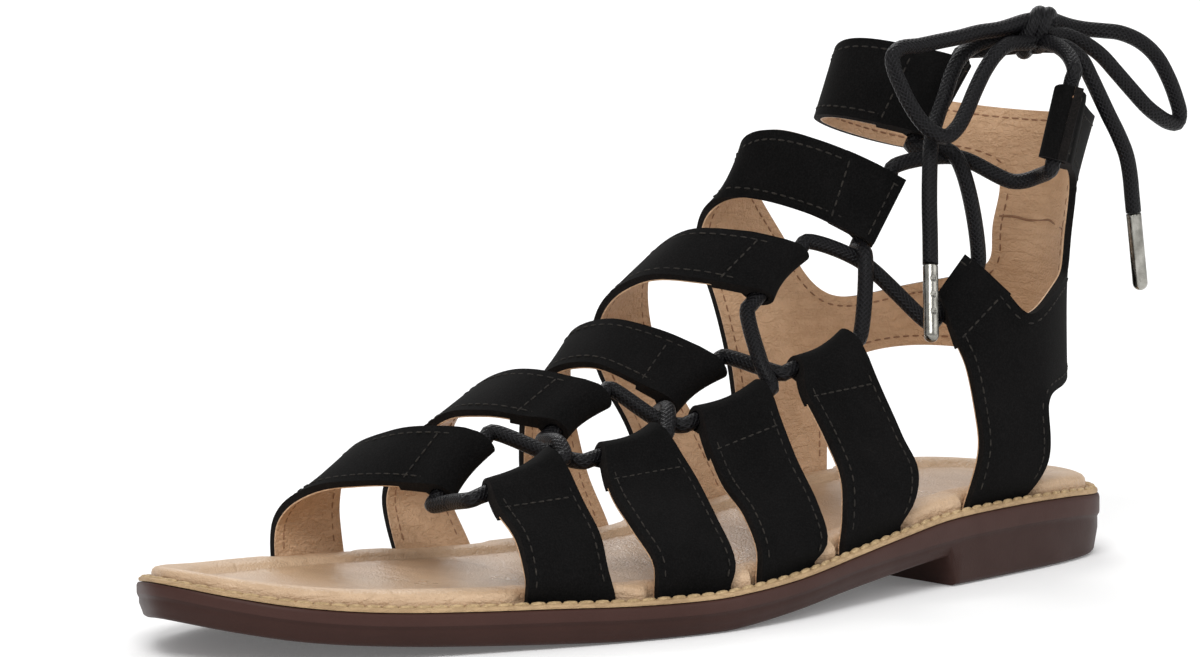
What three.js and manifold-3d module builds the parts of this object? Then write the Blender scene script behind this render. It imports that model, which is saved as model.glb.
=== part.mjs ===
// Gladiator sandal, the left shoe of a pair, in millimetres.
// +X points to the toe, +Y to the outer (lateral) side and +Z up. Tables place points from the
// back of the sole. The finished group is moved so that the origin lies on the floor under the heel.
import * as THREE from 'three';
import Module from 'manifold-3d';
import { mergeVertices } from 'three/addons/utils/BufferGeometryUtils.js';

const wasm = await Module();
wasm.setup();

// Driving dimensions
const soleLength = 257;
const ballWidth = 86;
const upperHeight = 100;
const heelHeight = 15;
const heelRestX = 33;
const breastX = 66;
const breastSlope = 2.5;
const ballFrom = 150;
const ballTo = 168;
const edgeRound = 1.2;
const bottomInset = 2.8;
const sideStep = 0.5;
const stepDropFore = 3.3;
const stepDropHeel = 5;
const fitGap = 0.3;
const seatGap = 0.6;
const insoleGap = 0.8;
const weltWidth = 2.4;
const weltHeight = 1.6;
const insoleThickness = 3.8;
const insoleRim = 5.5;
const insoleRecess = 1.1;
const strapWall = 1.9;
const cuffWall = 1.9;
const foldLength = 13;
const foldStep = 0.9;
const foldLift = 0.25;
const footMargin = 1.5;
const footRise = 3;
const laceDiameter = 3.5;
const tunnelClearance = 0.4;
const tunnelWall = 1.1;
const crossingRise = 1.1;
const laceGap = 0.3;
const laceExit = 3;
const knotWidth = 5.6;
const knotHeight = 12;
const agletDiameter = 3.4;
const agletLength = 17.5;

// Finishes
const finishes = {
  suede: { color: 0x16130f, roughness: 0.95, metalness: 0 },
  leather: { color: 0xc9a487, roughness: 0.6, metalness: 0 },
  welt: { color: 0xb99a67, roughness: 0.8, metalness: 0 },
  rubber: { color: 0x4a342c, roughness: 0.65, metalness: 0 },
  lace: { color: 0x17161a, roughness: 0.5, metalness: 0 },
  metal: { color: 0xb9b7b0, roughness: 0.25, metalness: 1 },
};
const materials = {};
for (const [name, finish] of Object.entries(finishes)) {
  materials[name] = new THREE.MeshStandardMaterial(finish);
}

const vec = (x, y, z) => new THREE.Vector3(x, y, z);
const along = (share) => (share * soleLength) / 100;
const across = (share) => (share * ballWidth) / 100;
const above = (share) => heelHeight + (share * upperHeight) / 100;
const place = ([x, y, z]) => vec(along(x), across(y), above(z));
const lerp = THREE.MathUtils.lerp;

// Outline of the sole: station in % of the length, outer and inner edge in % of the ball width
const outlineRows = [
  { at: 1.6, outer: 15.1, inner: -13.4 },
  { at: 4.7, outer: 25.0, inner: -25.6 },
  { at: 9.7, outer: 30.8, inner: -32.0 },
  { at: 17.5, outer: 35.5, inner: -32.0 },
  { at: 27.2, outer: 40.1, inner: -30.8 },
  { at: 38.9, outer: 46.5, inner: -30.8 },
  { at: 48.6, outer: 52.3, inner: -34.9 },
  { at: 57.6, outer: 53.5, inner: -43.0 },
  { at: 66.9, outer: 48.3, inner: -49.4 },
  { at: 77.0, outer: 39.0, inner: -52.3 },
  { at: 85.6, outer: 30.2, inner: -50 },
  { at: 93.4, outer: 18.6, inner: -41.4 },
  { at: 97.9, outer: 3.9, inner: -27 },
];
const toeTip = -12.3;

// Side profile: station in % of the length, top and underside in % of the heel height
const profileRows = [
  { at: 0, top: 82.7, under: 50 },
  { at: 3.9, top: 89.3, under: 50 },
  { at: 9.7, top: 98, under: 50 },
  { at: 17.5, top: 102, under: 48 },
  { at: 26.8, top: 99.3, under: 44 },
  { at: 33.1, top: 88, under: 36 },
  { at: 40.9, top: 72, under: 24 },
  { at: 48.6, top: 58, under: 10.7 },
  { at: 55.3, top: 50.7, under: 0.7 },
  { at: 58.3, top: 49.3, under: 0 },
  { at: 65.4, top: 50.9, under: 0 },
  { at: 72, top: 56, under: 4 },
  { at: 79.8, top: 61.3, under: 10.7 },
  { at: 87.5, top: 69.3, under: 20 },
  { at: 93.4, top: 82, under: 31.3 },
  { at: 97.3, top: 96, under: 44 },
  { at: 100, top: 109.3, under: 56 },
];

// Separate straps: foot corners in % of the length, then rows with a point of the front edge and
// a point of the rear edge, each a station, side position and height. The end is a lace tunnel.
const strapRows = {
  medial_1: { foot: [77.8, 70.4], rows: [
    [77.4, -47.7, 5, 70.6, -47.7, 7],
    [77.4, -36.4, 12.3, 71.4, -40.4, 18.2],
    [76.2, -22.3, 15.2, 70.9, -24.3, 24.8],
    [74.5, -7, 16, 69.6, -7, 27],
    [73.5, 4.7, 15, 68.1, 4.7, 26],
  ] },
  medial_2: { foot: [65, 58], rows: [
    [65, -48.8, 7, 58.2, -48.8, 7],
    [65.1, -41, 17.2, 59, -43, 22.8],
    [64.7, -26.8, 26.2, 58.8, -29, 32.8],
    [64.4, -10.8, 28.6, 58.6, -12.4, 35.9],
    [61.2, 7.4, 26.1, 55.3, 6.6, 32.9],
  ] },
  medial_3: { foot: [52.3, 45.5], rows: [
    [52.5, -38.4, 9, 45.5, -38.4, 9],
    [52.6, -36.2, 25.4, 46.7, -40.6, 29.6],
    [52.1, -29, 32.6, 47.3, -36.2, 39.4],
    [51.5, -16.4, 35.6, 47.1, -23.2, 43.4],
    [50.6, -3.2, 33, 45.7, -8.4, 42],
    [48.9, 7.6, 27.4, 42.2, 7.6, 35.5],
  ] },
  medial_4: { foot: [39.9, 32.7], rows: [
    [41.2, -34.9, 17, 33.9, -34.9, 17],
    [44, -38.4, 33, 37.7, -38.4, 37],
    [45.3, -32, 45, 39.5, -33.2, 53],
    [44.8, -18.4, 52.5, 39.2, -18.8, 61.5],
    [42.4, -4.7, 53, 36.8, -4.7, 62],
    [37.9, 8.6, 49.1, 32.9, 7.6, 58.9],
  ] },
  lateral_1: { foot: [74.7, 66.9], rows: [
    [75.1, 40, 1, 66.9, 42, 0],
    [75.1, 36.8, 8.5, 66.5, 37.6, 7],
    [74.9, 29.1, 14, 66.1, 29.1, 14.5],
    [74.3, 19.8, 19.5, 66.1, 19.8, 24.5],
  ] },
  lateral_2: { foot: [63, 55.3], rows: [
    [63.6, 48.6, 2, 55.1, 49.8, -1],
    [64, 41.9, 9, 54.7, 41.9, 7.5],
    [63.2, 31.4, 15.5, 54.1, 31.4, 16],
    [61.7, 20.9, 23, 54.9, 20.9, 26.5],
  ] },
  lateral_3: { foot: [51.6, 44.4], rows: [
    [51.8, 48.3, 1, 44, 47.5, 0.5],
    [51, 40.7, 8, 43, 40.7, 8],
    [50.8, 31.4, 14.5, 42.8, 31.4, 18],
    [50.6, 19.8, 28, 42.4, 19.8, 32.5],
  ] },
  lateral_4: { foot: [40.1, 32.3], rows: [
    [40.1, 42, 4, 31.5, 40, 6],
    [39.5, 39.8, 12, 30.9, 39.2, 12],
    [38.7, 31.4, 20.5, 30.4, 31.4, 19],
    [38.9, 23.3, 30, 30.9, 23.3, 32],
    [38.9, 19.8, 37, 32.1, 19.8, 41],
  ] },
};

// The cuff: cross-edges of its bands, each an upper and a lower corner, in the same shares
const ankleRows = [
  { upper: [12.6, 42.6, 92.6], lower: [14.8, 42.6, 77] },
  { upper: [10.9, 37.2, 89], lower: [12.5, 37.2, 75] },
  { upper: [5.4, 24.4, 84], lower: [7.2, 23.3, 69] },
  { upper: [-0.2, 2.3, 81.5], lower: [1.8, 2.3, 66] },
  { upper: [2.7, -16.3, 82], lower: [3.7, -15.7, 68.5] },
  { upper: [10.1, -29.1, 86], lower: [10.1, -26.7, 73.5] },
  { upper: [16, -34.3, 92.5], lower: [17.9, -32.6, 79.5] },
  { upper: [19.3, -24.4, 99.5], lower: [22.2, -24.4, 83.5] },
  { upper: [18.2, -10.5, 100.2], lower: [22.6, -9.3, 84] },
  { upper: [14.6, 8.1, 96.5], lower: [19.1, 7, 80.5] },
];
const stripRow = { outer: [7.6, 22.7, 58], seam: [3.2, 2.3, 56], inner: [4.3, -15.1, 56] };
const lowerRows = [
  { upper: [16, 34.3, 42.5], lower: [13.8, 33.7, 22] },
  { upper: [11.7, 30.2, 47], lower: [10.5, 27.9, 24.5] },
  { upper: [8, 22.7, 50], lower: [7, 19.2, 26] },
  { upper: [3.7, 2.3, 46], lower: [4.3, 2.3, 27] },
  { upper: [4.9, -16.3, 46.5], lower: [5.4, -15.7, 28] },
  { upper: [10.9, -27.9, 43], lower: [10.9, -25.6, 29.5] },
  { upper: [18.7, -33.1, 42], lower: [17.9, -32, 26] },
];
const lateralFront = { upper: [22.8, 33.1, 32], lower: [22.2, 34.9, 21] };
const lateralLeg = { rear: [13.4, 33.1, 10], front: [22, 34.9, 12] };
const lateralArm = [
  { rear: [17.7, 30.2, 48], front: [23.3, 30.2, 38] },
  { rear: [19.1, 20.8, 57], front: [22.9, 22.2, 48] },
];
const medialFront = { upper: [30.9, -37.2, 45], lower: [29.6, -34.3, 27] };
const medialLeg = { rear: [19.5, -31.4, 13], front: [29, -33.1, 13] };
const medialArm = [
  { rear: [22.6, -36.6, 54.5], front: [32.1, -38.4, 54] },
  { rear: [26.3, -36, 67], front: [32.3, -36, 62.5] },
  { rear: [30, -27.9, 78.5], front: [31.9, -27.9, 67] },
  { rear: [30.2, -14, 83], front: [30.7, -15.1, 67] },
  { rear: [26.8, 1.2, 78.5], front: [29.4, 1.7, 63.5] },
  { rear: [23.3, 11.6, 72], front: [26.8, 10.5, 58.5] },
];
const cuffFeet = { lateral: { rear: 14.4, front: 22.6 }, medial: { rear: 21.2, front: 28.8 } };

// The bow's routes, in millimetres from the back of the sole
const knotCentre = vec(27, 18, 117.9);
const bowRoutes = {
  lace_loop_toe: [
    [30.1, 17.6, 120.8], [37.4, 16.5, 119.4], [43.1, 15.5, 119], [47.7, 14.5, 118.2],
    [52.8, 13.5, 117.6], [59, 13, 117], [64.4, 13, 116.8], [67.1, 13.5, 115.2],
    [67.2, 14, 112.6], [66.3, 15, 109.3], [65.3, 16.5, 105.6], [62.8, 18, 101.1],
    [60.3, 19.5, 98.4], [56.9, 20, 97.4], [54.3, 20.5, 99.1], [51.6, 20.5, 102.4],
    [48.4, 20, 106.8], [45.3, 20, 111.2], [42, 20, 114.4], [37.8, 19.5, 116.2],
    [29.8, 19.4, 116.6],
  ],
  lace_end_toe: [
    [29.5, 15.5, 117.8], [34.1, 13.6, 117.2], [37.2, 12.5, 116.6], [40.5, 11.5, 115.5],
    [44.5, 11.5, 113.4], [47.3, 11.5, 109.8], [50.3, 12.5, 105.4], [52.9, 13, 101.3],
    [56.2, 14.5, 96.8], [58.2, 16, 92], [60.8, 18.5, 83.5], [62.5, 20.5, 76.1],
    [64.3, 22.5, 70],
  ],
  lace_loop_heel: [
    [23.8, 16.8, 121.4], [20, 15.5, 120], [15.3, 16, 118.4], [11.8, 17.5, 117.6],
    [8.8, 19.5, 117.2], [5.2, 21.5, 116.6], [0.9, 23.5, 114.5], [-2.6, 25, 111.1],
    [-4.9, 26.5, 106.3], [-6.4, 27.5, 101.6], [-7.1, 28, 98], [-6.3, 28, 96.1],
    [-3.5, 28, 96.5], [0, 28, 98.3], [2.9, 27.5, 100.5], [7, 26.5, 104.8],
    [10.3, 25.5, 108.5], [13.7, 24, 112.5], [16.5, 21.5, 115.2], [19.5, 19, 116.9],
    [23.5, 18.1, 117.5],
  ],
  lace_end_heel: [
    [25.3, 20.8, 115.2], [24.2, 23.2, 115], [23.2, 25, 113.9], [22.4, 27, 112.2],
    [22, 29.5, 108.4], [21.2, 31.5, 104.3], [19.9, 33, 100.1], [18.1, 34, 96],
    [16.5, 35, 91.3], [15.8, 35.5, 86.8], [15.2, 35.5, 82.3], [14.7, 35.5, 78.5],
  ],
};
// Where the two halves of the lace cross, from the toe up
const crossingSpots = [
  [165.4, 14.0, 38.9], [134.3, 14.0, 43.2], [105.5, 14.0, 49.4], [73.1, 10.0, 71.2],
  [47.8, 13.0, 91.8],
];
// From the ankle strap's tunnels up to the knot
const leadRoutes = {
  lateral: [[31.2, 33.5, 110.8], [29.4, 29.5, 112.6], [28.4, 25, 113.2], [28.3, 20.8, 112.6]],
  medial: [[34.5, 10.5, 112.6], [29.3, 15.7, 112.8]],
};

// Curves through the tables

function tableCurve(rows, column) {
  const stations = rows.map((row) => along(row.at));
  const values = rows.map((row) => (row[column] * heelHeight) / 100);
  return (x) => {
    let i = 0;
    while (i < stations.length - 2 && x > stations[i + 1]) i += 1;
    const slope = (k) => {
      const a = Math.max(0, k - 1);
      const b = Math.min(stations.length - 1, k + 1);
      return (values[b] - values[a]) / (stations[b] - stations[a]);
    };
    const span = stations[i + 1] - stations[i];
    const t = THREE.MathUtils.clamp((x - stations[i]) / span, 0, 1);
    const s = t * t * (3 - 2 * t);
    const bend = t * (1 - t) * span;
    return lerp(values[i], values[i + 1], s)
      + bend * ((1 - t) * slope(i) - t * slope(i + 1));
  };
}
const soleTop = tableCurve(profileRows, 'top');
const waistUnder = tableCurve(profileRows, 'under');
const soleUnder = (x) => (x <= breastX ? 0 : Math.max(0, waistUnder(x)));

const outlinePoints = [
  vec(0, 0, 0),
  ...outlineRows.map((row) => vec(along(row.at), across(row.outer), 0)),
  vec(soleLength, across(toeTip), 0),
  ...outlineRows.map((row) => vec(along(row.at), across(row.inner), 0)).reverse(),
];
const outline = new THREE.CatmullRomCurve3(outlinePoints, true, 'centripetal');

// Parameter of the outline at a station, on the outer or the inner side
function outlineAt(side, x) {
  let back = side === 'outer' ? 0 : 1;
  let front = 0.5;
  for (let i = 0; i < 30; i += 1) {
    const middle = (back + front) / 2;
    if (outline.getPoint(middle).x < x) back = middle;
    else front = middle;
  }
  return (back + front) / 2;
}

function insetPoint(parameter, inset) {
  const point = outline.getPoint(parameter);
  const tangent = outline.getTangent(parameter);
  return vec(point.x + tangent.y * inset, point.y - tangent.x * inset, 0);
}

// Stations along the sole, closer together at the round ends, with the heel breast and the
// ends of the flat spot under the ball
const stationCount = 26;
const stations = [];
for (let i = 1; i < stationCount; i += 1) {
  stations.push((soleLength * (1 - Math.cos((Math.PI * i) / stationCount))) / 2);
}
const fixedStations = [breastX, breastX + breastSlope, ballFrom, ballTo];
const free = stations.filter((x) => fixedStations.every((f) => Math.abs(x - f) > breastSlope));
const soleStations = [...free, ...fixedStations].sort((a, b) => a - b);
const loopStops = [
  { station: 0, parameter: 0 },
  ...soleStations.map((station) => ({ station, parameter: outlineAt('outer', station) })),
  { station: soleLength, parameter: 0.5 },
  ...soleStations.map((station) => ({ station, parameter: outlineAt('inner', station) })).reverse(),
];

// A closed ring at an inset from the outline. Its height comes from where the point is, and for
// the underside from the station, so that the breast stays square.
function soleRing(inset, height) {
  return loopStops.map(({ station, parameter }) => {
    const p = insetPoint(parameter, inset);
    return vec(p.x, p.y, height(p.x, station));
  });
}

// Geometry from points and triangles, turned so that its faces point out
function solidGeometry(points, triangles) {
  let volume = 0;
  for (const [a, b, c] of triangles) {
    volume += points[a].dot(points[b].clone().cross(points[c])) / 6;
  }
  const faces = volume < 0 ? triangles.map(([a, b, c]) => [a, c, b]) : triangles;
  const geometry = new THREE.BufferGeometry();
  const positions = new Float32Array(points.flatMap((p) => [p.x, p.y, p.z]));
  geometry.setAttribute('position', new THREE.BufferAttribute(positions, 3));
  geometry.setIndex(faces.flat());
  geometry.computeVertexNormals();
  return geometry;
}

// Rings stacked from the underside to the top, closed at both ends by strips from side to side
function stackedRings(rings) {
  const count = rings[0].length;
  const points = rings.flat();
  const triangles = [];
  for (let r = 0; r + 1 < rings.length; r += 1) {
    for (let i = 0; i < count; i += 1) {
      const a = r * count + i;
      const b = r * count + ((i + 1) % count);
      triangles.push([a, b, b + count], [a, b + count, a + count]);
    }
  }
  const cap = (base, flip) => {
    const half = count / 2;
    for (let i = 0; i < half; i += 1) {
      const a = base + i;
      const b = base + i + 1;
      const c = base + ((count - i - 1) % count);
      const d = base + ((count - i) % count);
      const fan = i === 0 ? [[a, b, c]] : [[a, b, c], [a, c, d]];
      const faces = i === half - 1 ? [[a, b, d]] : fan;
      for (const face of faces) triangles.push(flip ? [face[0], face[2], face[1]] : face);
    }
  };
  cap(0, true);
  cap((rings.length - 1) * count, false);
  return solidGeometry(points, triangles);
}

// Rings joined into a closed band around the sole
function bandOfRings(rings) {
  const count = rings[0].length;
  const points = rings.flat();
  const triangles = [];
  for (let r = 0; r < rings.length; r += 1) {
    const next = (r + 1) % rings.length;
    for (let i = 0; i < count; i += 1) {
      const j = (i + 1) % count;
      triangles.push(
        [r * count + i, r * count + j, next * count + j],
        [r * count + i, next * count + j, next * count + i],
      );
    }
  }
  return solidGeometry(points, triangles);
}

// Sole, welt and insole

function makeOutsole() {
  const stepDrop = (x) => {
    const heelShare = 1 - THREE.MathUtils.smoothstep(x, breastX, breastX * 1.6);
    return lerp(stepDropFore, stepDropHeel, heelShare);
  };
  return stackedRings([
    soleRing(bottomInset, (x, station) => soleUnder(station)),
    soleRing(edgeRound, (x, station) => soleUnder(station) + edgeRound),
    soleRing(sideStep, (x) => soleTop(x) - stepDrop(x)),
    soleRing(0, (x) => soleTop(x) - stepDrop(x) + sideStep / 2),
    soleRing(0, (x) => soleTop(x) - sideStep),
    soleRing(sideStep, soleTop),
  ]);
}

function makeWelt() {
  const outer = sideStep;
  const seat = (x) => soleTop(x) + fitGap;
  return bandOfRings([
    soleRing(outer, seat),
    soleRing(outer, (x) => seat(x) + weltHeight * 0.6),
    soleRing(outer + weltWidth / 2, (x) => seat(x) + weltHeight),
    soleRing(outer + weltWidth, (x) => seat(x) + weltHeight * 0.6),
    soleRing(outer + weltWidth, seat),
  ]);
}

const strapSeat = sideStep + weltWidth + seatGap + strapWall / 2;
const insoleEdge = strapSeat + strapWall / 2 + insoleGap;

function makeInsole() {
  const seat = (x) => soleTop(x) + fitGap;
  const top = (x) => seat(x) + insoleThickness;
  return stackedRings([
    soleRing(insoleEdge, seat),
    soleRing(insoleEdge, (x) => top(x) - edgeRound),
    soleRing(insoleEdge + edgeRound, top),
    soleRing(insoleEdge + insoleRim, top),
    soleRing(insoleEdge + insoleRim + insoleRecess, (x) => top(x) - insoleRecess),
  ]);
}

// Ribbons: a ruled surface between a front edge and a rear edge, measured from its first row

function footPoint(side, x, rise = 0) {
  const p = insetPoint(outlineAt(side, x), strapSeat);
  return vec(p.x, p.y, soleTop(x) + fitGap + rise);
}

function makeRibbon(frontPoints, rearPoints, centre, standing = false) {
  const front = new THREE.CatmullRomCurve3(frontPoints, false, 'centripetal');
  const rear = new THREE.CatmullRomCurve3(rearPoints, false, 'centripetal');
  const samples = 80;
  const lengths = [0];
  const middle = (t) => front.getPoint(t).lerp(rear.getPoint(t), 0.5);
  for (let i = 1; i <= samples; i += 1) {
    lengths.push(lengths[i - 1] + middle(i / samples).distanceTo(middle((i - 1) / samples)));
  }
  const length = lengths[samples];
  const parameter = (s) => {
    let i = 0;
    while (i < samples - 1 && lengths[i + 1] < s) i += 1;
    return (i + (s - lengths[i]) / (lengths[i + 1] - lengths[i])) / samples;
  };
  const at = (s, w) => {
    const t = THREE.MathUtils.clamp(parameter(s), 0, 1);
    return front.getPoint(t).lerp(rear.getPoint(t), w);
  };
  const step = 0.5;
  const rawNormal = (s, w) => {
    const onFoot = standing && s < step;
    const ahead = at(Math.min(length, s + step), w);
    const forward = onFoot ? vec(0, 0, 1) : ahead.sub(at(Math.max(0, s - step), w));
    return forward.cross(at(s, 1).sub(at(s, 0))).normalize();
  };
  const halfway = at(length / 2, 0.5);
  const sign = rawNormal(length / 2, 0.5).dot(halfway.clone().sub(centre)) < 0 ? -1 : 1;
  const point = (s, n, w) => at(s, w).addScaledVector(rawNormal(s, w), n * sign);
  return { length, point };
}

// A section in (distance, offset) carried across the ribbon from its front to its rear edge.
// Cells are the small faces that close both ends, so that they follow the ribbon's bends.
function ribbonSolid(ribbon, section, layers = 2, overshoot = 0) {
  const { corners, loops, cells } = section;
  const points = [];
  for (let k = 0; k <= layers; k += 1) {
    const w = lerp(-overshoot, 1 + overshoot, k / layers);
    for (const [s, n] of corners) points.push(ribbon.point(s, n, w));
  }
  const count = corners.length;
  const triangles = [];
  for (const [outer, ...holes] of cells) {
    const flat = [outer, ...holes].map((loop) => loop.map((i) => new THREE.Vector2(...corners[i])));
    const order = [outer, ...holes].flat();
    for (const face of THREE.ShapeUtils.triangulateShape(flat[0], flat.slice(1))) {
      const [a, b, c] = face.map((i) => order[i]);
      const last = layers * count;
      triangles.push([c, b, a], [a + last, b + last, c + last]);
    }
  }
  for (let k = 0; k < layers; k += 1) {
    for (const loop of loops) {
      loop.forEach((from, i) => {
        const a = k * count + from;
        const b = k * count + loop[(i + 1) % loop.length];
        triangles.push([a, b, b + count], [a, b + count, a + count]);
      });
    }
  }
  return solidGeometry(points, triangles);
}

const tunnelRadius = laceDiameter / 2 + tunnelClearance;
const foldRadius = tunnelRadius + tunnelWall;
const foldCentre = (length, wall) => [length - foldRadius, wall / 2 - foldRadius];
const stationStep = 5;
const holeSides = 10;
const noseSides = 6;

// Round hole of the tunnel, listed clockwise
function holeCorners(length, wall) {
  const [s, n] = foldCentre(length, wall);
  return Array.from({ length: holeSides }, (_, i) => {
    const angle = (-2 * Math.PI * (i + 0.5)) / holeSides;
    return [s + tunnelRadius * Math.cos(angle), n + tunnelRadius * Math.sin(angle)];
  });
}

function rodSection(length, wall) {
  const corners = holeCorners(length, wall).reverse();
  const loop = corners.map((_, i) => i);
  return { corners, loops: [loop], cells: [[loop]] };
}

// A strap's section from a start distance to its end: the plain wall, the doubled part from the
// stitch line on, and the round nose with the tunnel's hole
function strapSection(length, wall, from = 0, lift = 0) {
  const corners = [];
  const add = (s, n) => corners.push([s, n]) - 1;
  const [centreS, centreN] = foldCentre(length, wall);
  const stitch = length - foldLength;
  const noseStart = centreS - foldRadius;
  const row = (start, end, offset) => {
    const steps = Math.max(1, Math.round((end - start) / stationStep));
    return Array.from({ length: steps + 1 }, (_, i) => add(lerp(start, end, i / steps), offset));
  };
  const plain = stitch - from > 1;
  const top = plain ? row(from, stitch, wall / 2 + lift) : [add(stitch, wall / 2 + lift)];
  const base = plain ? row(from, stitch, -wall / 2) : [];
  const foldTop = [top[top.length - 1], ...row(stitch, noseStart, wall / 2 + lift).slice(1)];
  const foldBase = row(stitch, noseStart, -wall / 2 - foldStep - lift);
  const nose = Array.from({ length: noseSides + 1 }, (_, i) => {
    const angle = -Math.PI / 2 + (Math.PI * i) / noseSides;
    const n = centreN + (foldRadius + lift) * Math.sin(angle);
    return add(centreS + foldRadius * Math.cos(angle), n);
  });
  const firstHole = corners.length;
  corners.push(...holeCorners(length, wall));
  const hole = corners.slice(firstHole).map((_, i) => firstHole + i);
  const quads = (lower, upper) => lower.slice(1).map((corner, i) => (
    [[lower[i], corner, upper[i + 1], upper[i]]]
  ));
  const cells = quads(foldBase, foldTop);
  if (plain) {
    cells[0][0].push(base[base.length - 1]);
    cells.push(...quads(base, top));
  }
  cells.push([[foldBase[foldBase.length - 1], ...nose, foldTop[foldTop.length - 1]], hole]);
  const outline = [...base, ...foldBase, ...nose, ...foldTop.slice().reverse(),
    ...top.slice(0, -1).reverse()];
  return { corners, loops: [outline, hole], cells };
}


const laceMouths = {};

// Where the lace enters and leaves a tunnel, clear of an edge that slants across its mouth
function recordMouths(name, ribbon, wall) {
  const [s, n] = foldCentre(ribbon.length, wall);
  const axis = ribbon.point(s, n, 1).sub(ribbon.point(s, n, 0)).normalize();
  const mouth = (w, direction) => {
    const point = ribbon.point(s, n, w);
    const rim = [[-1, -1], [-1, 0], [-1, 1], [0, -1], [0, 0], [0, 1], [1, -1], [1, 0], [1, 1]];
    const reach = rim.map(([i, j]) => (
      ribbon.point(s + i * foldRadius, n + j * foldRadius, w).sub(point).dot(direction)
    ));
    return { point: point.addScaledVector(direction, Math.max(...reach)), direction };
  };
  laceMouths[name] = { front: mouth(0, axis.clone().negate()), rear: mouth(1, axis) };
}

function makeStrap(name) {
  const { foot, rows } = strapRows[name];
  const side = name.startsWith('lateral') ? 'outer' : 'inner';
  const frontPoints = [footPoint(side, along(foot[0])), footPoint(side, along(foot[0]), footRise)];
  const rearPoints = [footPoint(side, along(foot[1])), footPoint(side, along(foot[1]), footRise)];
  for (const row of rows) {
    frontPoints.push(place(row.slice(0, 3)));
    rearPoints.push(place(row.slice(3)));
  }
  const centre = vec((frontPoints[0].x + rearPoints[0].x) / 2, 0, heelHeight);
  const ribbon = makeRibbon(frontPoints, rearPoints, centre, true);
  recordMouths(name, ribbon, strapWall);
  return ribbonSolid(ribbon, strapSection(ribbon.length, strapWall));
}

// The cuff is a net of four-sided patches, rounded by subdivision and given its wall

function cuffNet() {
  const points = [];
  const node = (point) => points.push(point) - 1;
  const pair = (row, a, b) => [node(place(row[a])), node(place(row[b]))];
  const faces = [];
  const ankle = ankleRows.map((row) => pair(row, 'upper', 'lower'));
  const lower = lowerRows.map((row) => pair(row, 'upper', 'lower'));
  for (const band of [ankle, lower]) {
    for (let i = 0; i + 1 < band.length; i += 1) {
      faces.push([band[i][0], band[i][1], band[i + 1][1], band[i + 1][0]]);
    }
  }
  const outer = node(place(stripRow.outer));
  const seam = node(place(stripRow.seam));
  const inner = node(place(stripRow.inner));
  faces.push(
    [ankle[2][1], outer, seam, ankle[3][1]],
    [ankle[3][1], seam, inner, ankle[4][1]],
    [outer, lower[2][0], lower[3][0], seam],
    [seam, lower[3][0], lower[4][0], inner],
  );
  const ends = {};
  const addSide = (side, join, front, leg, arm, feet) => {
    const flip = (face) => (side === 'outer' ? face : face.reverse());
    const [frontUpper, frontLower] = pair(front, 'upper', 'lower');
    faces.push(flip([frontUpper, frontLower, join[1], join[0]]));
    const legPair = pair(leg, 'rear', 'front');
    faces.push(flip([frontLower, legPair[1], legPair[0], join[1]]));
    let [aboveRear, aboveFront] = legPair;
    for (const rise of [footRise, 0]) {
      const footRear = node(footPoint(side, along(feet.rear), rise));
      const footFront = node(footPoint(side, along(feet.front), rise));
      faces.push(flip([aboveFront, footFront, footRear, aboveRear]));
      [aboveRear, aboveFront] = [footRear, footFront];
    }
    let previous = [join[0], frontUpper];
    const pairs = [previous];
    for (const row of arm) {
      const next = pair(row, 'rear', 'front');
      faces.push(flip([next[1], previous[1], previous[0], next[0]]));
      previous = next;
      pairs.push(next);
    }
    ends[`${side}_arm`] = pairs.slice(-3).map(([rear, frontNode]) => [frontNode, rear]);
  };
  addSide('outer', lower[0], lateralFront, lateralLeg, lateralArm, cuffFeet.lateral);
  addSide('inner', lower[6], medialFront, medialLeg, medialArm, cuffFeet.medial);
  ends.outer_ankle = ankle.slice(0, 3).reverse().map(([upper, low]) => [low, upper]);
  ends.inner_ankle = ankle.slice(-3).map(([upper, low]) => [low, upper]);
  return { points, faces, ends };
}

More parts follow.
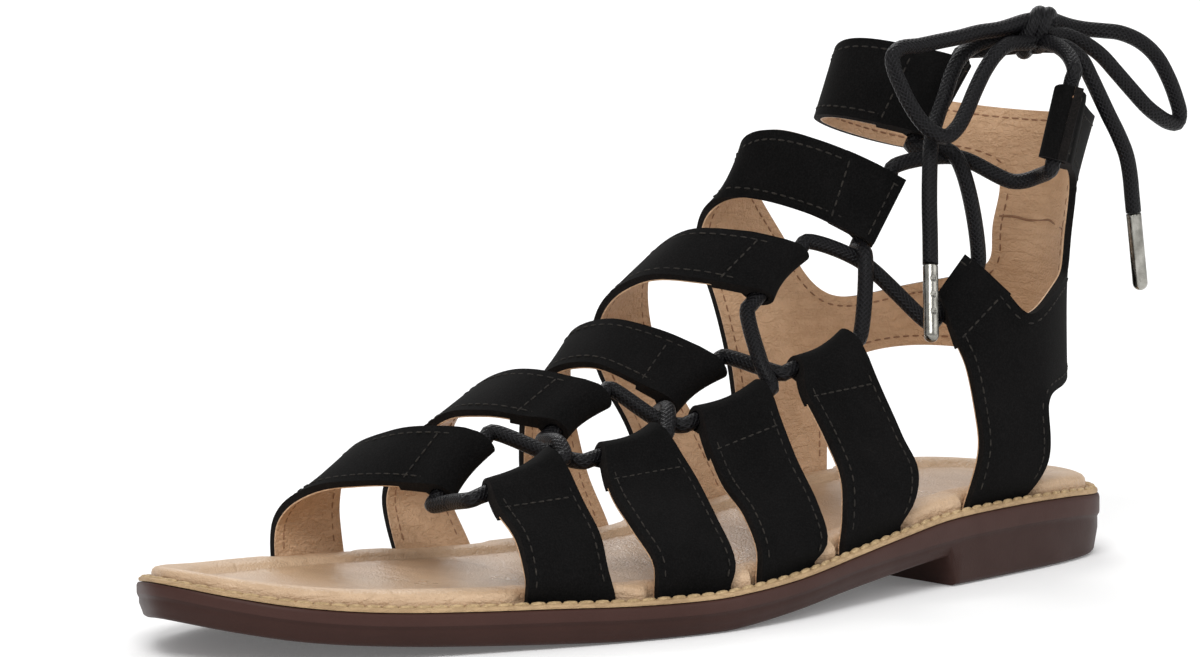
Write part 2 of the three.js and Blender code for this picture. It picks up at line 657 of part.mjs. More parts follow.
function subdivide({ points, faces }) {
  const edges = new Map();
  const key = (a, b) => (a < b ? `${a}_${b}` : `${b}_${a}`);
  const centres = faces.map((face) => {
    const sum = face.reduce((total, i) => total.add(points[i]), vec(0, 0, 0));
    return sum.multiplyScalar(1 / face.length);
  });
  const around = points.map(() => ({ faces: [], edges: [], border: [] }));
  faces.forEach((face, f) => face.forEach((a, i) => {
    const b = face[(i + 1) % face.length];
    if (!edges.has(key(a, b))) edges.set(key(a, b), { a, b, faces: [] });
    edges.get(key(a, b)).faces.push(f);
    around[a].faces.push(f);
  }));
  const next = [];
  for (const edge of edges.values()) {
    around[edge.a].edges.push(edge);
    around[edge.b].edges.push(edge);
    if (edge.faces.length === 1) {
      around[edge.a].border.push(edge.b);
      around[edge.b].border.push(edge.a);
    }
  }
  points.forEach((point, i) => {
    const near = around[i];
    const moved = point.clone();
    if (near.border.length && near.faces.length > 1) {
      moved.multiplyScalar(6).add(points[near.border[0]]).add(points[near.border[1]]);
      moved.multiplyScalar(1 / 8);
    } else if (!near.border.length) {
      const count = near.faces.length;
      const faceMean = vec(0, 0, 0);
      near.faces.forEach((f) => faceMean.addScaledVector(centres[f], 1 / count));
      const edgeMean = vec(0, 0, 0);
      near.edges.forEach((e) => {
        edgeMean.addScaledVector(points[e.a].clone().add(points[e.b]), 0.5 / count);
      });
      moved.multiplyScalar(count - 3).add(faceMean).addScaledVector(edgeMean, 2);
      moved.multiplyScalar(1 / count);
    }
    next.push(moved);
  });
  const centreIndex = centres.map((centre) => next.push(centre) - 1);
  for (const edge of edges.values()) {
    const middle = points[edge.a].clone().add(points[edge.b]).multiplyScalar(0.5);
    if (edge.faces.length === 2) {
      const inner = centres[edge.faces[0]].clone().add(centres[edge.faces[1]]);
      middle.multiplyScalar(0.5).addScaledVector(inner, 0.25);
    }
    edge.index = next.push(middle) - 1;
  }
  const smaller = [];
  faces.forEach((face, f) => face.forEach((a, i) => {
    const b = face[(i + 1) % face.length];
    const before = face[(i + face.length - 1) % face.length];
    const toNext = edges.get(key(a, b)).index;
    const toBefore = edges.get(key(before, a)).index;
    smaller.push([a, toNext, centreIndex[f], toBefore]);
  }));
  return { points: next, faces: smaller };
}

// Net whose rounded surface passes through the given corners
function fittedSurface(net) {
  const targets = net.points.map((p) => p.clone());
  const cage = { points: net.points.map((p) => p.clone()), faces: net.faces };
  const passes = 6;
  for (let pass = 0; pass < passes; pass += 1) {
    const surface = subdivide(subdivide(cage));
    cage.points.forEach((p, i) => p.add(targets[i]).sub(surface.points[i]));
  }
  return subdivide(subdivide(cage));
}

// A sheet given a wall, closed along its border. It stands upright where it meets the sole.
function thicken({ points, faces }, wall) {
  const normals = points.map(() => vec(0, 0, 0));
  for (const [a, b, c, d] of faces) {
    const normal = points[c].clone().sub(points[a]).cross(points[d].clone().sub(points[b]));
    for (const i of [a, b, c, d]) normals[i].add(normal);
  }
  normals.forEach((normal, i) => {
    if (points[i].z < heelHeight + footMargin) normal.z = 0;
    normal.normalize();
  });
  const count = points.length;
  const outer = points.map((p, i) => p.clone().addScaledVector(normals[i], wall / 2));
  const inner = points.map((p, i) => p.clone().addScaledVector(normals[i], -wall / 2));
  const triangles = [];
  const borders = new Map();
  for (const face of faces) {
    const [a, b, c, d] = face;
    triangles.push([a, b, c], [a, c, d]);
    triangles.push([a + count, c + count, b + count], [a + count, d + count, c + count]);
    face.forEach((from, i) => {
      const to = face[(i + 1) % 4];
      if (borders.has(`${to}_${from}`)) borders.delete(`${to}_${from}`);
      else borders.set(`${from}_${to}`, [from, to]);
    });
  }
  for (const [from, to] of borders.values()) {
    triangles.push([from, to + count, to], [from, from + count, to + count]);
  }
  return solidGeometry([...outer, ...inner], triangles);
}

function toManifold(geometry) {
  const bare = geometry.clone();
  bare.deleteAttribute('normal');
  bare.deleteAttribute('uv');
  const merged = mergeVertices(bare, 1e-4);
  return new wasm.Manifold(new wasm.Mesh({
    numProp: 3,
    vertProperties: new Float32Array(merged.attributes.position.array),
    triVerts: new Uint32Array(merged.index.array),
  }));
}

function fromManifold(solid) {
  const mesh = solid.getMesh();
  const geometry = new THREE.BufferGeometry();
  const positions = new Float32Array(mesh.vertProperties);
  geometry.setAttribute('position', new THREE.BufferAttribute(positions, 3));
  geometry.setIndex(Array.from(mesh.triVerts));
  geometry.computeVertexNormals();
  return geometry;
}

function makeCuff() {
  const net = cuffNet();
  const ankleCentre = vec(along(12), 0, above(upperHeight * 0.6));
  let cuff = toManifold(thicken(fittedSurface(net), cuffWall));
  for (const [name, rows] of Object.entries(net.ends)) {
    const ribbon = makeRibbon(
      rows.map(([front]) => net.points[front]),
      rows.map(([, rear]) => net.points[rear]),
      ankleCentre,
    );
    recordMouths(name, ribbon, cuffWall);
    const stitch = ribbon.length - foldLength;
    const fold = ribbonSolid(ribbon, strapSection(ribbon.length, cuffWall, stitch, foldLift));
    const rod = ribbonSolid(ribbon, rodSection(ribbon.length, cuffWall), 2, 0.1);
    cuff = cuff.subtract(toManifold(rod)).add(toManifold(fold));
  }
  return fromManifold(cuff);
}

// Lace

const laceSection = new THREE.Shape();
const laceSides = 8;
for (let i = 0; i < laceSides; i += 1) {
  const angle = (2 * Math.PI * i) / laceSides;
  const x = (laceDiameter / 2) * Math.cos(angle);
  const y = (laceDiameter / 2) * Math.sin(angle);
  if (i === 0) laceSection.moveTo(x, y);
  else laceSection.lineTo(x, y);
}

function laceTube(points, stepLength = laceDiameter * 2) {
  const path = new THREE.CatmullRomCurve3(points, false, 'centripetal');
  const steps = Math.max(4, Math.round(path.getLength() / stepLength));
  return new THREE.ExtrudeGeometry(laceSection, {
    steps, bevelEnabled: false, curveSegments: 1, extrudePath: path,
  });
}

function leaving(mouth, distance) {
  return mouth.point.clone().addScaledVector(mouth.direction, distance);
}

function laceRun(from, to, middle) {
  const inner = middle ? [middle] : [];
  return [leaving(from, laceGap), leaving(from, laceExit), ...inner,
    leaving(to, laceExit), leaving(to, laceGap)];
}

// Two runs that cross and press on each other between one pair of tunnels and the next
function makeCrossing([outerLow, innerLow], [outerHigh, innerHigh], spot) {
  const level = [leaving(innerLow.rear, laceExit), leaving(outerHigh.front, laceExit)];
  const steep = [leaving(outerLow.rear, laceExit), leaving(innerHigh.front, laceExit)];
  const middle = vec(...spot);
  const rise = steep[1].clone().sub(steep[0]).cross(level[1].clone().sub(level[0])).normalize();
  if (rise.z < 0) rise.negate();
  const over = middle.clone().addScaledVector(rise, crossingRise);
  const under = middle.clone().addScaledVector(rise, -crossingRise);
  const runs = [
    laceRun(innerLow.rear, outerHigh.front, under),
    laceRun(outerLow.rear, innerHigh.front, over),
  ];
  const [a, b] = runs.map((points) => toManifold(laceTube(points, laceDiameter)));
  return fromManifold(a.add(b));
}

function makeKnot() {
  const half = knotHeight / 2;
  const radius = knotWidth / 2;
  const profile = [
    [0, -half], [radius * 0.6, -half * 0.95], [radius * 0.95, -half * 0.7], [radius, -half * 0.3],
    [radius, half * 0.5], [radius * 0.9, half * 0.8], [radius * 0.5, half * 0.97], [0, half],
  ].map(([r, h]) => new THREE.Vector2(r, h));
  const geometry = new THREE.LatheGeometry(profile, 12);
  geometry.rotateX(Math.PI / 2);
  geometry.translate(knotCentre.x, knotCentre.y, knotCentre.z);
  return geometry;
}

function makeAglet(route) {
  const [before, end] = route.slice(-2).map((p) => vec(...p));
  const direction = end.clone().sub(before).normalize();
  const radius = agletDiameter / 2;
  const round = radius * 0.4;
  const profile = [
    [0, 0], [radius - round, 0], [radius, round], [radius, agletLength - round],
    [radius - round, agletLength], [0, agletLength],
  ].map(([r, h]) => new THREE.Vector2(r, h));
  const geometry = new THREE.LatheGeometry(profile, 12);
  const up = vec(0, 1, 0);
  geometry.applyQuaternion(new THREE.Quaternion().setFromUnitVectors(up, direction));
  const start = end.clone().addScaledVector(direction, fitGap);
  geometry.translate(start.x, start.y, start.z);
  return geometry;
}

// Assembly

const shoe = new THREE.Group();
shoe.position.x = -heelRestX;

function addPiece(name, geometry, material) {
  const mesh = new THREE.Mesh(geometry, materials[material]);
  mesh.name = name;
  shoe.add(mesh);
}

addPiece('outsole', makeOutsole(), 'rubber');
addPiece('welt', makeWelt(), 'welt');
addPiece('insole', makeInsole(), 'leather');
for (const name of Object.keys(strapRows)) addPiece(name, makeStrap(name), 'suede');
addPiece('cuff', makeCuff(), 'suede');

const tunnelPairs = [
  [laceMouths.lateral_1, laceMouths.medial_1],
  [laceMouths.lateral_2, laceMouths.medial_2],
  [laceMouths.lateral_3, laceMouths.medial_3],
  [laceMouths.lateral_4, laceMouths.medial_4],
  [laceMouths.outer_arm, laceMouths.inner_arm],
  [laceMouths.outer_ankle, laceMouths.inner_ankle],
];
const [toeOuter, toeInner] = tunnelPairs[0];
addPiece('lace_toe_bar', laceTube(laceRun(toeOuter.front, toeInner.front), laceDiameter), 'lace');
for (let i = 0; i + 1 < tunnelPairs.length; i += 1) {
  const crossing = makeCrossing(tunnelPairs[i], tunnelPairs[i + 1], crossingSpots[i]);
  addPiece(`lace_cross_${i + 1}`, crossing, 'lace');
}
const [topOuter, topInner] = tunnelPairs[5];
const lateralLead = [leaving(topOuter.rear, laceGap), leaving(topOuter.rear, laceExit),
  ...leadRoutes.lateral.map((p) => vec(...p))];
const medialLead = [leaving(topInner.rear, laceGap), leaving(topInner.rear, laceExit),
  ...leadRoutes.medial.map((p) => vec(...p))];
addPiece('lace_lead_lateral', laceTube(lateralLead, laceDiameter), 'lace');
addPiece('lace_lead_medial', laceTube(medialLead, laceDiameter), 'lace');
addPiece('lace_knot', makeKnot(), 'lace');
for (const [name, route] of Object.entries(bowRoutes)) {
  addPiece(name, laceTube(route.map((p) => vec(...p))), 'lace');
}
addPiece('aglet_toe', makeAglet(bowRoutes.lace_end_toe), 'metal');
addPiece('aglet_heel', makeAglet(bowRoutes.lace_end_heel), 'metal');

export default shoe;
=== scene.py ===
"""Looks of the gladiator sandal, left shoe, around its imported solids. Tables are in shares of the
sole's length, the ball's width and the upper's height; pieces are built in millimetres from the
back of the sole and placed in the frame in metres."""
import math

import bpy
import numpy as np
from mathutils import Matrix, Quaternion, Vector


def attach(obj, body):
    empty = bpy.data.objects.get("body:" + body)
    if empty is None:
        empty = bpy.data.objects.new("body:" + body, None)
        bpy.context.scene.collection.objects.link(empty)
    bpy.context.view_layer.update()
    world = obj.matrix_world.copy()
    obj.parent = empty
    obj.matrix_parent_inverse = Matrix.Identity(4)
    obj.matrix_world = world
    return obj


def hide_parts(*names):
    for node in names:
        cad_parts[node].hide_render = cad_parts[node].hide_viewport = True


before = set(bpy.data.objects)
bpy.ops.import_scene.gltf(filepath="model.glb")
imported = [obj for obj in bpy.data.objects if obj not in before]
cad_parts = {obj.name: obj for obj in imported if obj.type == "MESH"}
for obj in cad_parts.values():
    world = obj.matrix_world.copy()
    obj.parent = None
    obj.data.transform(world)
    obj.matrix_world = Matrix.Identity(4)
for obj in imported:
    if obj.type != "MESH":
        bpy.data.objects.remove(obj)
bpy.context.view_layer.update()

# Sizes in millimetres
SOLE_LENGTH = 257
BALL_WIDTH = 86
UPPER_HEIGHT = 100
HEEL_HEIGHT = 15
HEEL_REST_X = 33
BREAST_X = 66
BREAST_SLOPE = 2.5
BALL_FROM = 150
BALL_TO = 168
EDGE_ROUND = 1.2
BOTTOM_INSET = 2.8
SIDE_STEP = 0.5
STEP_DROP_FORE = 3.3
STEP_DROP_HEEL = 5
FIT_GAP = 0.3
SEAT_GAP = 0.6
INSOLE_GAP = 0.8
WELT_WIDTH = 2.4
INSOLE_THICKNESS = 3.8
FOOTBED_RIM = 7.5
STRAP_NOTCH = 3.6
STRAP_CLEAR = 0.8
INSOLE_RECESS = 1.45
STRAP_WALL = 1.9
CUFF_WALL = 1.9
FOLD_LENGTH = 13
FOLD_STEP = 0.9
FOLD_LIFT = 0.15
FOLD_PUFF = 0.6
FOLD_SAG = 1.1
FOLD_STITCH_IN = 1.1
SEW_START = 6
ROW_SPACING = 1.6
LINING_EDGE = 0.32
CUT_EDGE_ROUND = 0.28
STRAP_RIPPLE = 0.12
CORNER_DRAW = 0.07
FOOT_MARGIN = 1.5
FOOT_RISE = 1.5
LACE_DIAMETER = 3.5
TUNNEL_CLEARANCE = 0.4
TUNNEL_WALL = 1.1
LACE_LIFT = 1.45
LACE_EXIT = 1.7
SEAM_RISE = 2
SEAM_RADIUS = 0.3
SEAM_WAVE = 0.35
AGLET_DIAMETER = 3.4
AGLET_LENGTH = 17.5
BEAD_PITCH = 3.7
BEAD_WIDTH = 1.5
BEAD_HEIGHT = 0.72
BEAD_SLANT = 0.22
STITCH_PITCH = 2.3
STITCH_LENGTH = 1.6
STITCH_WIDTH = 0.45
STITCH_HEIGHT = 0.18
LINING_STITCH_HEIGHT = 0.2
EDGE_MARGIN = 2.1

OUTLINE = [
    # station, outer edge, inner edge
    (1.6, 15.1, -13.4), (4.7, 25.0, -25.6), (9.7, 30.8, -32.0), (17.5, 35.5, -32.0),
    (27.2, 40.1, -30.8), (38.9, 46.5, -30.8), (48.6, 52.3, -34.9), (57.6, 53.5, -43.0),
    (66.9, 48.3, -49.4), (77.0, 39.0, -52.3), (85.6, 30.2, -50), (93.4, 18.6, -41.4),
    (97.9, 3.9, -27),
]
TOE_TIP = -12.3
PROFILE = [
    # station, top, underside
    (0, 82.7, 50), (3.9, 89.3, 50), (9.7, 98, 50), (17.5, 102, 48), (26.8, 99.3, 44),
    (33.1, 88, 36), (40.9, 72, 24), (48.6, 58, 10.7), (55.3, 50.7, 0.7), (58.3, 49.3, 0),
    (65.4, 50.9, 0), (72, 56, 4), (79.8, 61.3, 10.7), (87.5, 69.3, 20), (93.4, 82, 31.3),
    (97.3, 96, 44), (100, 109.3, 56),
]
STRAPS = {
    # foot stations (front, rear), then rows of a front edge point and a rear edge point
    "medial_1": ((77.8, 70.4), [
        (77.4, -47.7, 5, 70.6, -47.7, 7), (77.4, -36.4, 12.3, 71.4, -40.4, 18.2),
        (76.2, -22.3, 15.2, 70.9, -24.3, 24.8), (74.5, -7, 16, 69.6, -7, 27),
        (73.5, 4.7, 15, 68.1, 4.7, 26)]),
    "medial_2": ((65, 58), [
        (65, -48.8, 7, 58.2, -48.8, 7), (65.1, -41, 17.2, 59, -43, 22.8),
        (64.7, -26.8, 26.2, 58.8, -29, 32.8), (64.4, -10.8, 28.6, 58.6, -12.4, 35.9),
        (61.2, 7.4, 26.1, 55.3, 6.6, 32.9)]),
    "medial_3": ((52.3, 45.5), [
        (52.5, -38.4, 9, 45.5, -38.4, 9), (52.6, -36.2, 25.4, 46.7, -40.6, 29.6),
        (52.1, -29, 32.6, 47.3, -36.2, 39.4), (51.5, -16.4, 35.6, 47.1, -23.2, 43.4),
        (50.6, -3.2, 33, 45.7, -8.4, 42), (48.9, 7.6, 27.4, 42.2, 7.6, 35.5)]),
    "medial_4": ((39.9, 32.7), [
        (41.2, -34.9, 17, 33.9, -34.9, 17), (44, -38.4, 33, 37.7, -38.4, 37),
        (45.3, -32, 45, 39.5, -33.2, 53), (44.8, -18.4, 52.5, 39.2, -18.8, 61.5),
        (42.4, -4.7, 53, 36.8, -4.7, 62), (37.9, 8.6, 49.1, 32.9, 7.6, 58.9)]),
    "lateral_1": ((74.7, 66.9), [
        (75.1, 40, 1, 66.9, 42, 0), (75.1, 36.8, 8.5, 66.5, 37.6, 7),
        (74.9, 29.1, 14, 66.1, 29.1, 14.5), (74.3, 19.8, 19.9, 66.1, 19.8, 25.8)]),
    "lateral_2": ((63, 55.3), [
        (63.6, 48.6, 2, 55.1, 49.8, -1), (64, 41.9, 9, 54.7, 41.9, 7.5),
        (63.2, 31.4, 15.5, 54.1, 31.4, 16), (61.7, 20.9, 25, 54.9, 20.9, 28.2)]),
    "lateral_3": ((51.6, 44.4), [
        (51.8, 48.3, 1, 44, 47.5, 0.5), (51, 40.7, 8, 43, 40.7, 8),
        (50.8, 31.4, 14.5, 42.8, 31.4, 18), (50.6, 19.8, 29.8, 42.4, 19.8, 34.5)]),
    "lateral_4": ((40.1, 32.3), [
        (40.1, 42, 4, 31.5, 40, 6), (39.5, 39.8, 12, 30.9, 39.2, 12),
        (38.7, 31.4, 20.5, 30.4, 31.4, 19), (38.9, 23.3, 30, 30.9, 23.3, 32),
        (38.9, 19.8, 37.6, 32.1, 19.8, 42.8)]),
}
ANKLE = [
    # upper corner, lower corner
    ((12.6, 42.6, 92.6), (14.8, 42.6, 77)), ((10.9, 37.2, 89), (12.5, 37.2, 75)),
    ((5.4, 24.4, 84), (7.2, 23.3, 69)), ((-0.2, 2.3, 81.5), (1.8, 2.3, 66)),
    ((2.7, -16.3, 82), (3.7, -15.7, 68.5)), ((10.1, -29.1, 86), (10.1, -26.7, 73.5)),
    ((16, -34.3, 92.5), (17.9, -32.6, 79.5)), ((19.3, -24.4, 99.5), (22.2, -24.4, 83.5)),
    ((18.2, -10.5, 100.2), (22.6, -9.3, 84)), ((14.6, 8.1, 96.5), (19.1, 7, 80.5)),
]
STRIP = ((7.6, 22.7, 58), (3.2, 2.3, 56), (4.3, -15.1, 56))
LOWER = [
    ((16, 34.3, 42.5), (13.8, 33.7, 22)), ((11.7, 30.2, 47), (10.5, 27.9, 24.5)),
    ((8, 22.7, 50), (7, 19.2, 26)), ((3.7, 2.3, 46), (4.3, 2.3, 27)),
    ((4.9, -16.3, 46.5), (5.4, -15.7, 28)), ((10.9, -27.9, 43), (10.9, -25.6, 29.5)),
    ((18.7, -33.1, 42), (17.9, -32, 26)),
]
LATERAL_FRONT = ((22.8, 33.1, 32), (22.2, 34.9, 21))
LATERAL_LEG = ((13.4, 33.1, 10), (22, 34.9, 12))
LATERAL_ARM = [((17.7, 30.2, 48), (23.3, 30.2, 38)), ((19.5, 21.3, 55.2), (22.9, 22.2, 47.8))]
MEDIAL_FRONT = ((30.9, -37.2, 45), (29.6, -34.3, 27))
MEDIAL_LEG = ((19.5, -31.4, 13), (29, -33.1, 13))
MEDIAL_ARM = [
    ((22.6, -36.6, 54.5), (32.1, -38.4, 54)), ((26.3, -36, 67), (32.3, -36, 62.5)),
    ((30, -27.9, 78.5), (31.9, -27.9, 67)), ((30.2, -14, 83), (30.7, -15.1, 67)),
    ((26.8, 1.2, 78.5), (29.4, 1.7, 63.5)), ((23.3, 11.6, 72), (26.8, 10.5, 58.5)),
]
CUFF_FEET = {"lateral": (14.4, 22.6), "medial": (21.2, 28.8)}

KNOT_CENTRE = np.array([27, 18, 117.9])
BOW = {
    "lace_loop_toe": [
        (30.1, 17.6, 120.8), (37.4, 16.5, 119.4), (43.1, 15.5, 119), (47.7, 14.5, 118.2),
        (52.8, 13.5, 117.6), (59, 13, 117), (64.4, 13, 116.8), (67.1, 13.5, 115.2),
        (67.2, 14, 112.6), (66.3, 15, 109.3), (65.3, 16.5, 105.6), (62.8, 18, 101.1),
        (60.3, 19.5, 98.4), (56.9, 20, 97.4), (54.3, 20.5, 99.1), (51.6, 20.5, 102.4),
        (48.4, 20, 106.8), (45.3, 20, 111.2), (42, 20, 114.4), (37.8, 19.5, 116.2),
        (29.8, 19.4, 116.6)],
    "lace_end_toe": [
        (29.5, 15.5, 117.8), (34.1, 13.6, 117.2), (37.2, 12.5, 116.6), (40.5, 11.5, 115.5),
        (44.5, 11.5, 113.4), (47.3, 11.5, 109.8), (50.3, 12.5, 105.4), (52.9, 13, 101.3),
        (56.2, 14.5, 96.8), (58.2, 16, 92), (60.8, 18.5, 83.5), (62.5, 20.5, 76.1),
        (64.3, 22.5, 70)],
    "lace_loop_heel": [
        (23.8, 16.8, 121.4), (20, 15.5, 120), (15.3, 16, 118.4), (11.8, 17.5, 117.6),
        (8.8, 19.5, 117.2), (5.2, 21.5, 116.6), (0.9, 23.5, 114.5), (-2.6, 25, 111.1),
        (-4.9, 26.5, 106.3), (-6.4, 27.5, 101.6), (-7.1, 28, 98), (-6.3, 28, 96.1),
        (-3.5, 28, 96.5), (0, 28, 98.3), (2.9, 27.5, 100.5), (7, 26.5, 104.8),
        (10.3, 25.5, 108.5), (13.7, 24, 112.5), (16.5, 21.5, 115.2), (19.5, 19, 116.9),
        (23.5, 18.1, 117.5)],
    "lace_end_heel": [
        (25.3, 20.8, 115.2), (24.2, 23.2, 115), (23.2, 25, 113.9), (22.4, 27, 112.2),
        (22, 29.5, 108.4), (21.2, 31.5, 104.3), (19.9, 33, 100.1), (18.1, 34, 96),
        (16.5, 35, 91.3), (15.8, 35.5, 86.8), (15.2, 35.5, 82.3), (14.7, 35.5, 78.5)],
}
CROSSINGS = [
    (165.3, 13, 38.1), (134.1, 12.8, 42.3), (105, 12.4, 50.4), (73.1, 10, 71.2), (47.8, 13, 91.8)]
ANKLE_SAG = [(38, 21.5, 86), (35.8, 27.4, 87.6)]
LEADS = {
    "lateral": [(31, 33.5, 110.6), (28.8, 29.6, 113.6), (28.1, 25.6, 115.4), (28.2, 21.5, 116.2)],
    "medial": [(34.5, 10.5, 114.2), (30.1, 14.2, 114.8)],
}

# Camera, in the frame's millimetres and the picture's pixels, from a fit to the sole and straps
CAMERA_TARGET = (95.6, 1.4, 30)
CAMERA_DISTANCE = 2237
CAMERA_AZIMUTH = 138.1
CAMERA_ELEVATION = 8.27
CAMERA_ROLL = -0.28
CAMERA_FOCAL = 10304
PHOTO_WIDTH = 1200
TARGET_OFFSET = (48.7, 135.6)
SENSOR = 36
UP = np.array([0.0, 0.0, 1.0])


def place(share):
    x, y, z = share
    return np.array([
        x * SOLE_LENGTH / 100, y * BALL_WIDTH / 100, HEEL_HEIGHT + z * UPPER_HEIGHT / 100])


def to_frame(points):
    """Millimetres from the back of the sole, to metres in the frame."""
    return (np.asarray(points, float) - [HEEL_REST_X, 0, 0]) / 1000


def unit(vectors):
    vectors = np.asarray(vectors, float)
    return vectors / np.maximum(np.linalg.norm(vectors, axis=-1, keepdims=True), 1e-9)


class Curve:
    """Centripetal Catmull-Rom curve through points, with an even parameter between points."""

    def __init__(self, points, closed=False):
        points = np.asarray(points, float)
        count = len(points)
        self.spans = count if closed else count - 1
        if closed:
            padded = np.vstack([points[-1:], points, points[:2]])
        else:
            before = 2 * points[0] - points[1]
            after = 2 * points[-1] - points[-2]
            padded = np.vstack([before, points, after])
        self.coefficients = [self.span(padded[i:i + 4]) for i in range(self.spans)]

    @staticmethod
    def span(four):
        p0, p1, p2, p3 = four
        d0, d1, d2 = [np.sum((b - a) ** 2) ** 0.25 for a, b in zip(four, four[1:])]
        d1 = d1 if d1 > 1e-4 else 1.0
        d0 = d0 if d0 > 1e-4 else d1
        d2 = d2 if d2 > 1e-4 else d1
        t1 = ((p1 - p0) / d0 - (p2 - p0) / (d0 + d1) + (p2 - p1) / d1) * d1
        t2 = ((p2 - p1) / d1 - (p3 - p1) / (d1 + d2) + (p3 - p2) / d2) * d1
        return p1, t1, -3 * p1 + 3 * p2 - 2 * t1 - t2, 2 * p1 - 2 * p2 + t1 + t2

    def at(self, t):
        where = np.clip(t, 0, 1) * self.spans
        i = min(int(where), self.spans - 1)
        u = where - i
        c0, c1, c2, c3 = self.coefficients[i]
        return c0 + u * (c1 + u * (c2 + u * c3))

    def even(self, spacing):
        """Points at about equal spacing along the curve."""
        fine = np.array([self.at(t) for t in np.linspace(0, 1, 24 * self.spans + 1)])
        run = np.concatenate([[0], np.cumsum(np.linalg.norm(np.diff(fine, axis=0), axis=1))])
        count = max(4, int(round(run[-1] / spacing)))
        stops = np.linspace(0, run[-1], count + 1)
        return np.stack([np.interp(stops, run, fine[:, k]) for k in range(3)], axis=1)


def table_curve(column):
    stations = [row[0] * SOLE_LENGTH / 100 for row in PROFILE]
    values = [row[column] * HEEL_HEIGHT / 100 for row in PROFILE]
    last = len(stations) - 1

    def slope(k):
        a, b = max(0, k - 1), min(last, k + 1)
        return (values[b] - values[a]) / (stations[b] - stations[a])

    def height(x):
        i = 0
        while i < last - 1 and x > stations[i + 1]:
            i += 1
        span = stations[i + 1] - stations[i]
        t = min(max((x - stations[i]) / span, 0), 1)
        s = t * t * (3 - 2 * t)
        bend = t * (1 - t) * span
        return (values[i] + (values[i + 1] - values[i]) * s
                + bend * ((1 - t) * slope(i) - t * slope(i + 1)))
    return height


sole_top = table_curve(1)
waist_under = table_curve(2)


def sole_under(x):
    return 0 if x <= BREAST_X else max(0, waist_under(x))


def outline_point(x, y):
    return (x * SOLE_LENGTH / 100, y * BALL_WIDTH / 100, 0)


outline = Curve(
    [(0, 0, 0)] + [outline_point(x, outer) for x, outer, _ in OUTLINE]
    + [outline_point(100, TOE_TIP)]
    + [outline_point(x, inner) for x, _, inner in reversed(OUTLINE)], closed=True)


def outline_at(side, x):
    back, front = (0.0, 0.5) if side == "outer" else (1.0, 0.5)
    for _ in range(30):
        middle = (back + front) / 2
        if outline.at(middle)[0] < x:
            back = middle
        else:
            front = middle
    return (back + front) / 2


def inset_point(parameter, inset):
    point = outline.at(parameter % 1)
    ahead = outline.at((parameter + 1e-4) % 1) - outline.at((parameter - 1e-4) % 1)
    tangent = unit(ahead)
    return np.array([point[0] + tangent[1] * inset, point[1] - tangent[0] * inset, 0])


def sole_stops(count):
    stations = [SOLE_LENGTH * (1 - math.cos(math.pi * i / count)) / 2 for i in range(1, count)]
    fixed = [BREAST_X, BREAST_X + BREAST_SLOPE, BALL_FROM, BALL_TO]
    free = [x for x in stations if all(abs(x - f) > 1.2 for f in fixed)]
    merged = sorted(free + fixed)
    outer = [(x, outline_at("outer", x)) for x in merged]
    inner = [(x, outline_at("inner", x)) for x in merged]
    return [(0, 0.0)] + outer + [(SOLE_LENGTH, 0.5)] + inner[::-1]


FINE_STOPS = sole_stops(150)


def sole_ring(inset, height, by_station=False):
    ring = []
    for station, parameter in FINE_STOPS:
        p = inset_point(parameter, inset(station, parameter) if callable(inset) else inset)
        ring.append((p[0], p[1], height(station if by_station else p[0])))
    return np.array(ring)


# Meshes

def add_object(name, points, faces, materials, indices=None):
    mesh = bpy.data.meshes.new(name)
    mesh.from_pydata([tuple(p) for p in to_frame(points)], [], [tuple(f) for f in faces])
    for material in materials:
        mesh.materials.append(material)
    if indices is not None:
        mesh.polygons.foreach_set("material_index", indices)
    mesh.polygons.foreach_set("use_smooth", [True] * len(mesh.polygons))
    mesh.validate()
    mesh.update()
    piece = bpy.data.objects.new(name, mesh)
    bpy.context.scene.collection.objects.link(piece)
    face_out(piece)
    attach(piece, "root")
    return piece


def face_out(piece):
    """Turns a closed mesh so that its faces look outward."""
    mesh = piece.data
    points = np.empty(len(mesh.vertices) * 3)
    mesh.vertices.foreach_get("co", points)
    points = points.reshape(-1, 3)
    volume = 0.0
    for polygon in mesh.polygons:
        corners = list(polygon.vertices)
        for b, c in zip(corners[1:-1], corners[2:]):
            volume += np.dot(points[corners[0]], np.cross(points[b], points[c]))
    if volume < 0:
        mesh.flip_normals()


def round_cut_edges(piece):
    modifier = piece.modifiers.new("cut_edges", "BEVEL")
    modifier.width = CUT_EDGE_ROUND / 1000
    modifier.segments = 2
    modifier.limit_method = "ANGLE"
    modifier.angle_limit = math.radians(50)
    modifier.harden_normals = True


def stacked(rings):
    """Points and faces of rings stacked from the underside up, closed by strips at both ends."""
    count = len(rings[0])
    half = count // 2
    faces = []
    for r in range(len(rings) - 1):
        for i in range(count):
            a, b = r * count + i, r * count + (i + 1) % count
            faces.append((a, b, b + count, a + count))
    for base, turned in ((0, True), ((len(rings) - 1) * count, False)):
        for i in range(half):
            corners = [base + i, base + i + 1, base + (count - i - 1) % count,
                       base + (count - i) % count]
            if i == 0:
                corners = corners[:3]
            elif i == half - 1:
                corners = [corners[0], corners[1], corners[3]]
            faces.append(tuple(corners[::-1] if turned else corners))
    return np.vstack(rings), faces


def band(rings):
    """Points and faces of rings joined round into a closed band."""
    count, turns = len(rings[0]), len(rings)
    faces = []
    for r in range(turns):
        for i in range(count):
            a, b = r * count + i, r * count + (i + 1) % count
            step = count if r < turns - 1 else -r * count
            faces.append((a, b, b + step, a + step))
    return np.vstack(rings), faces


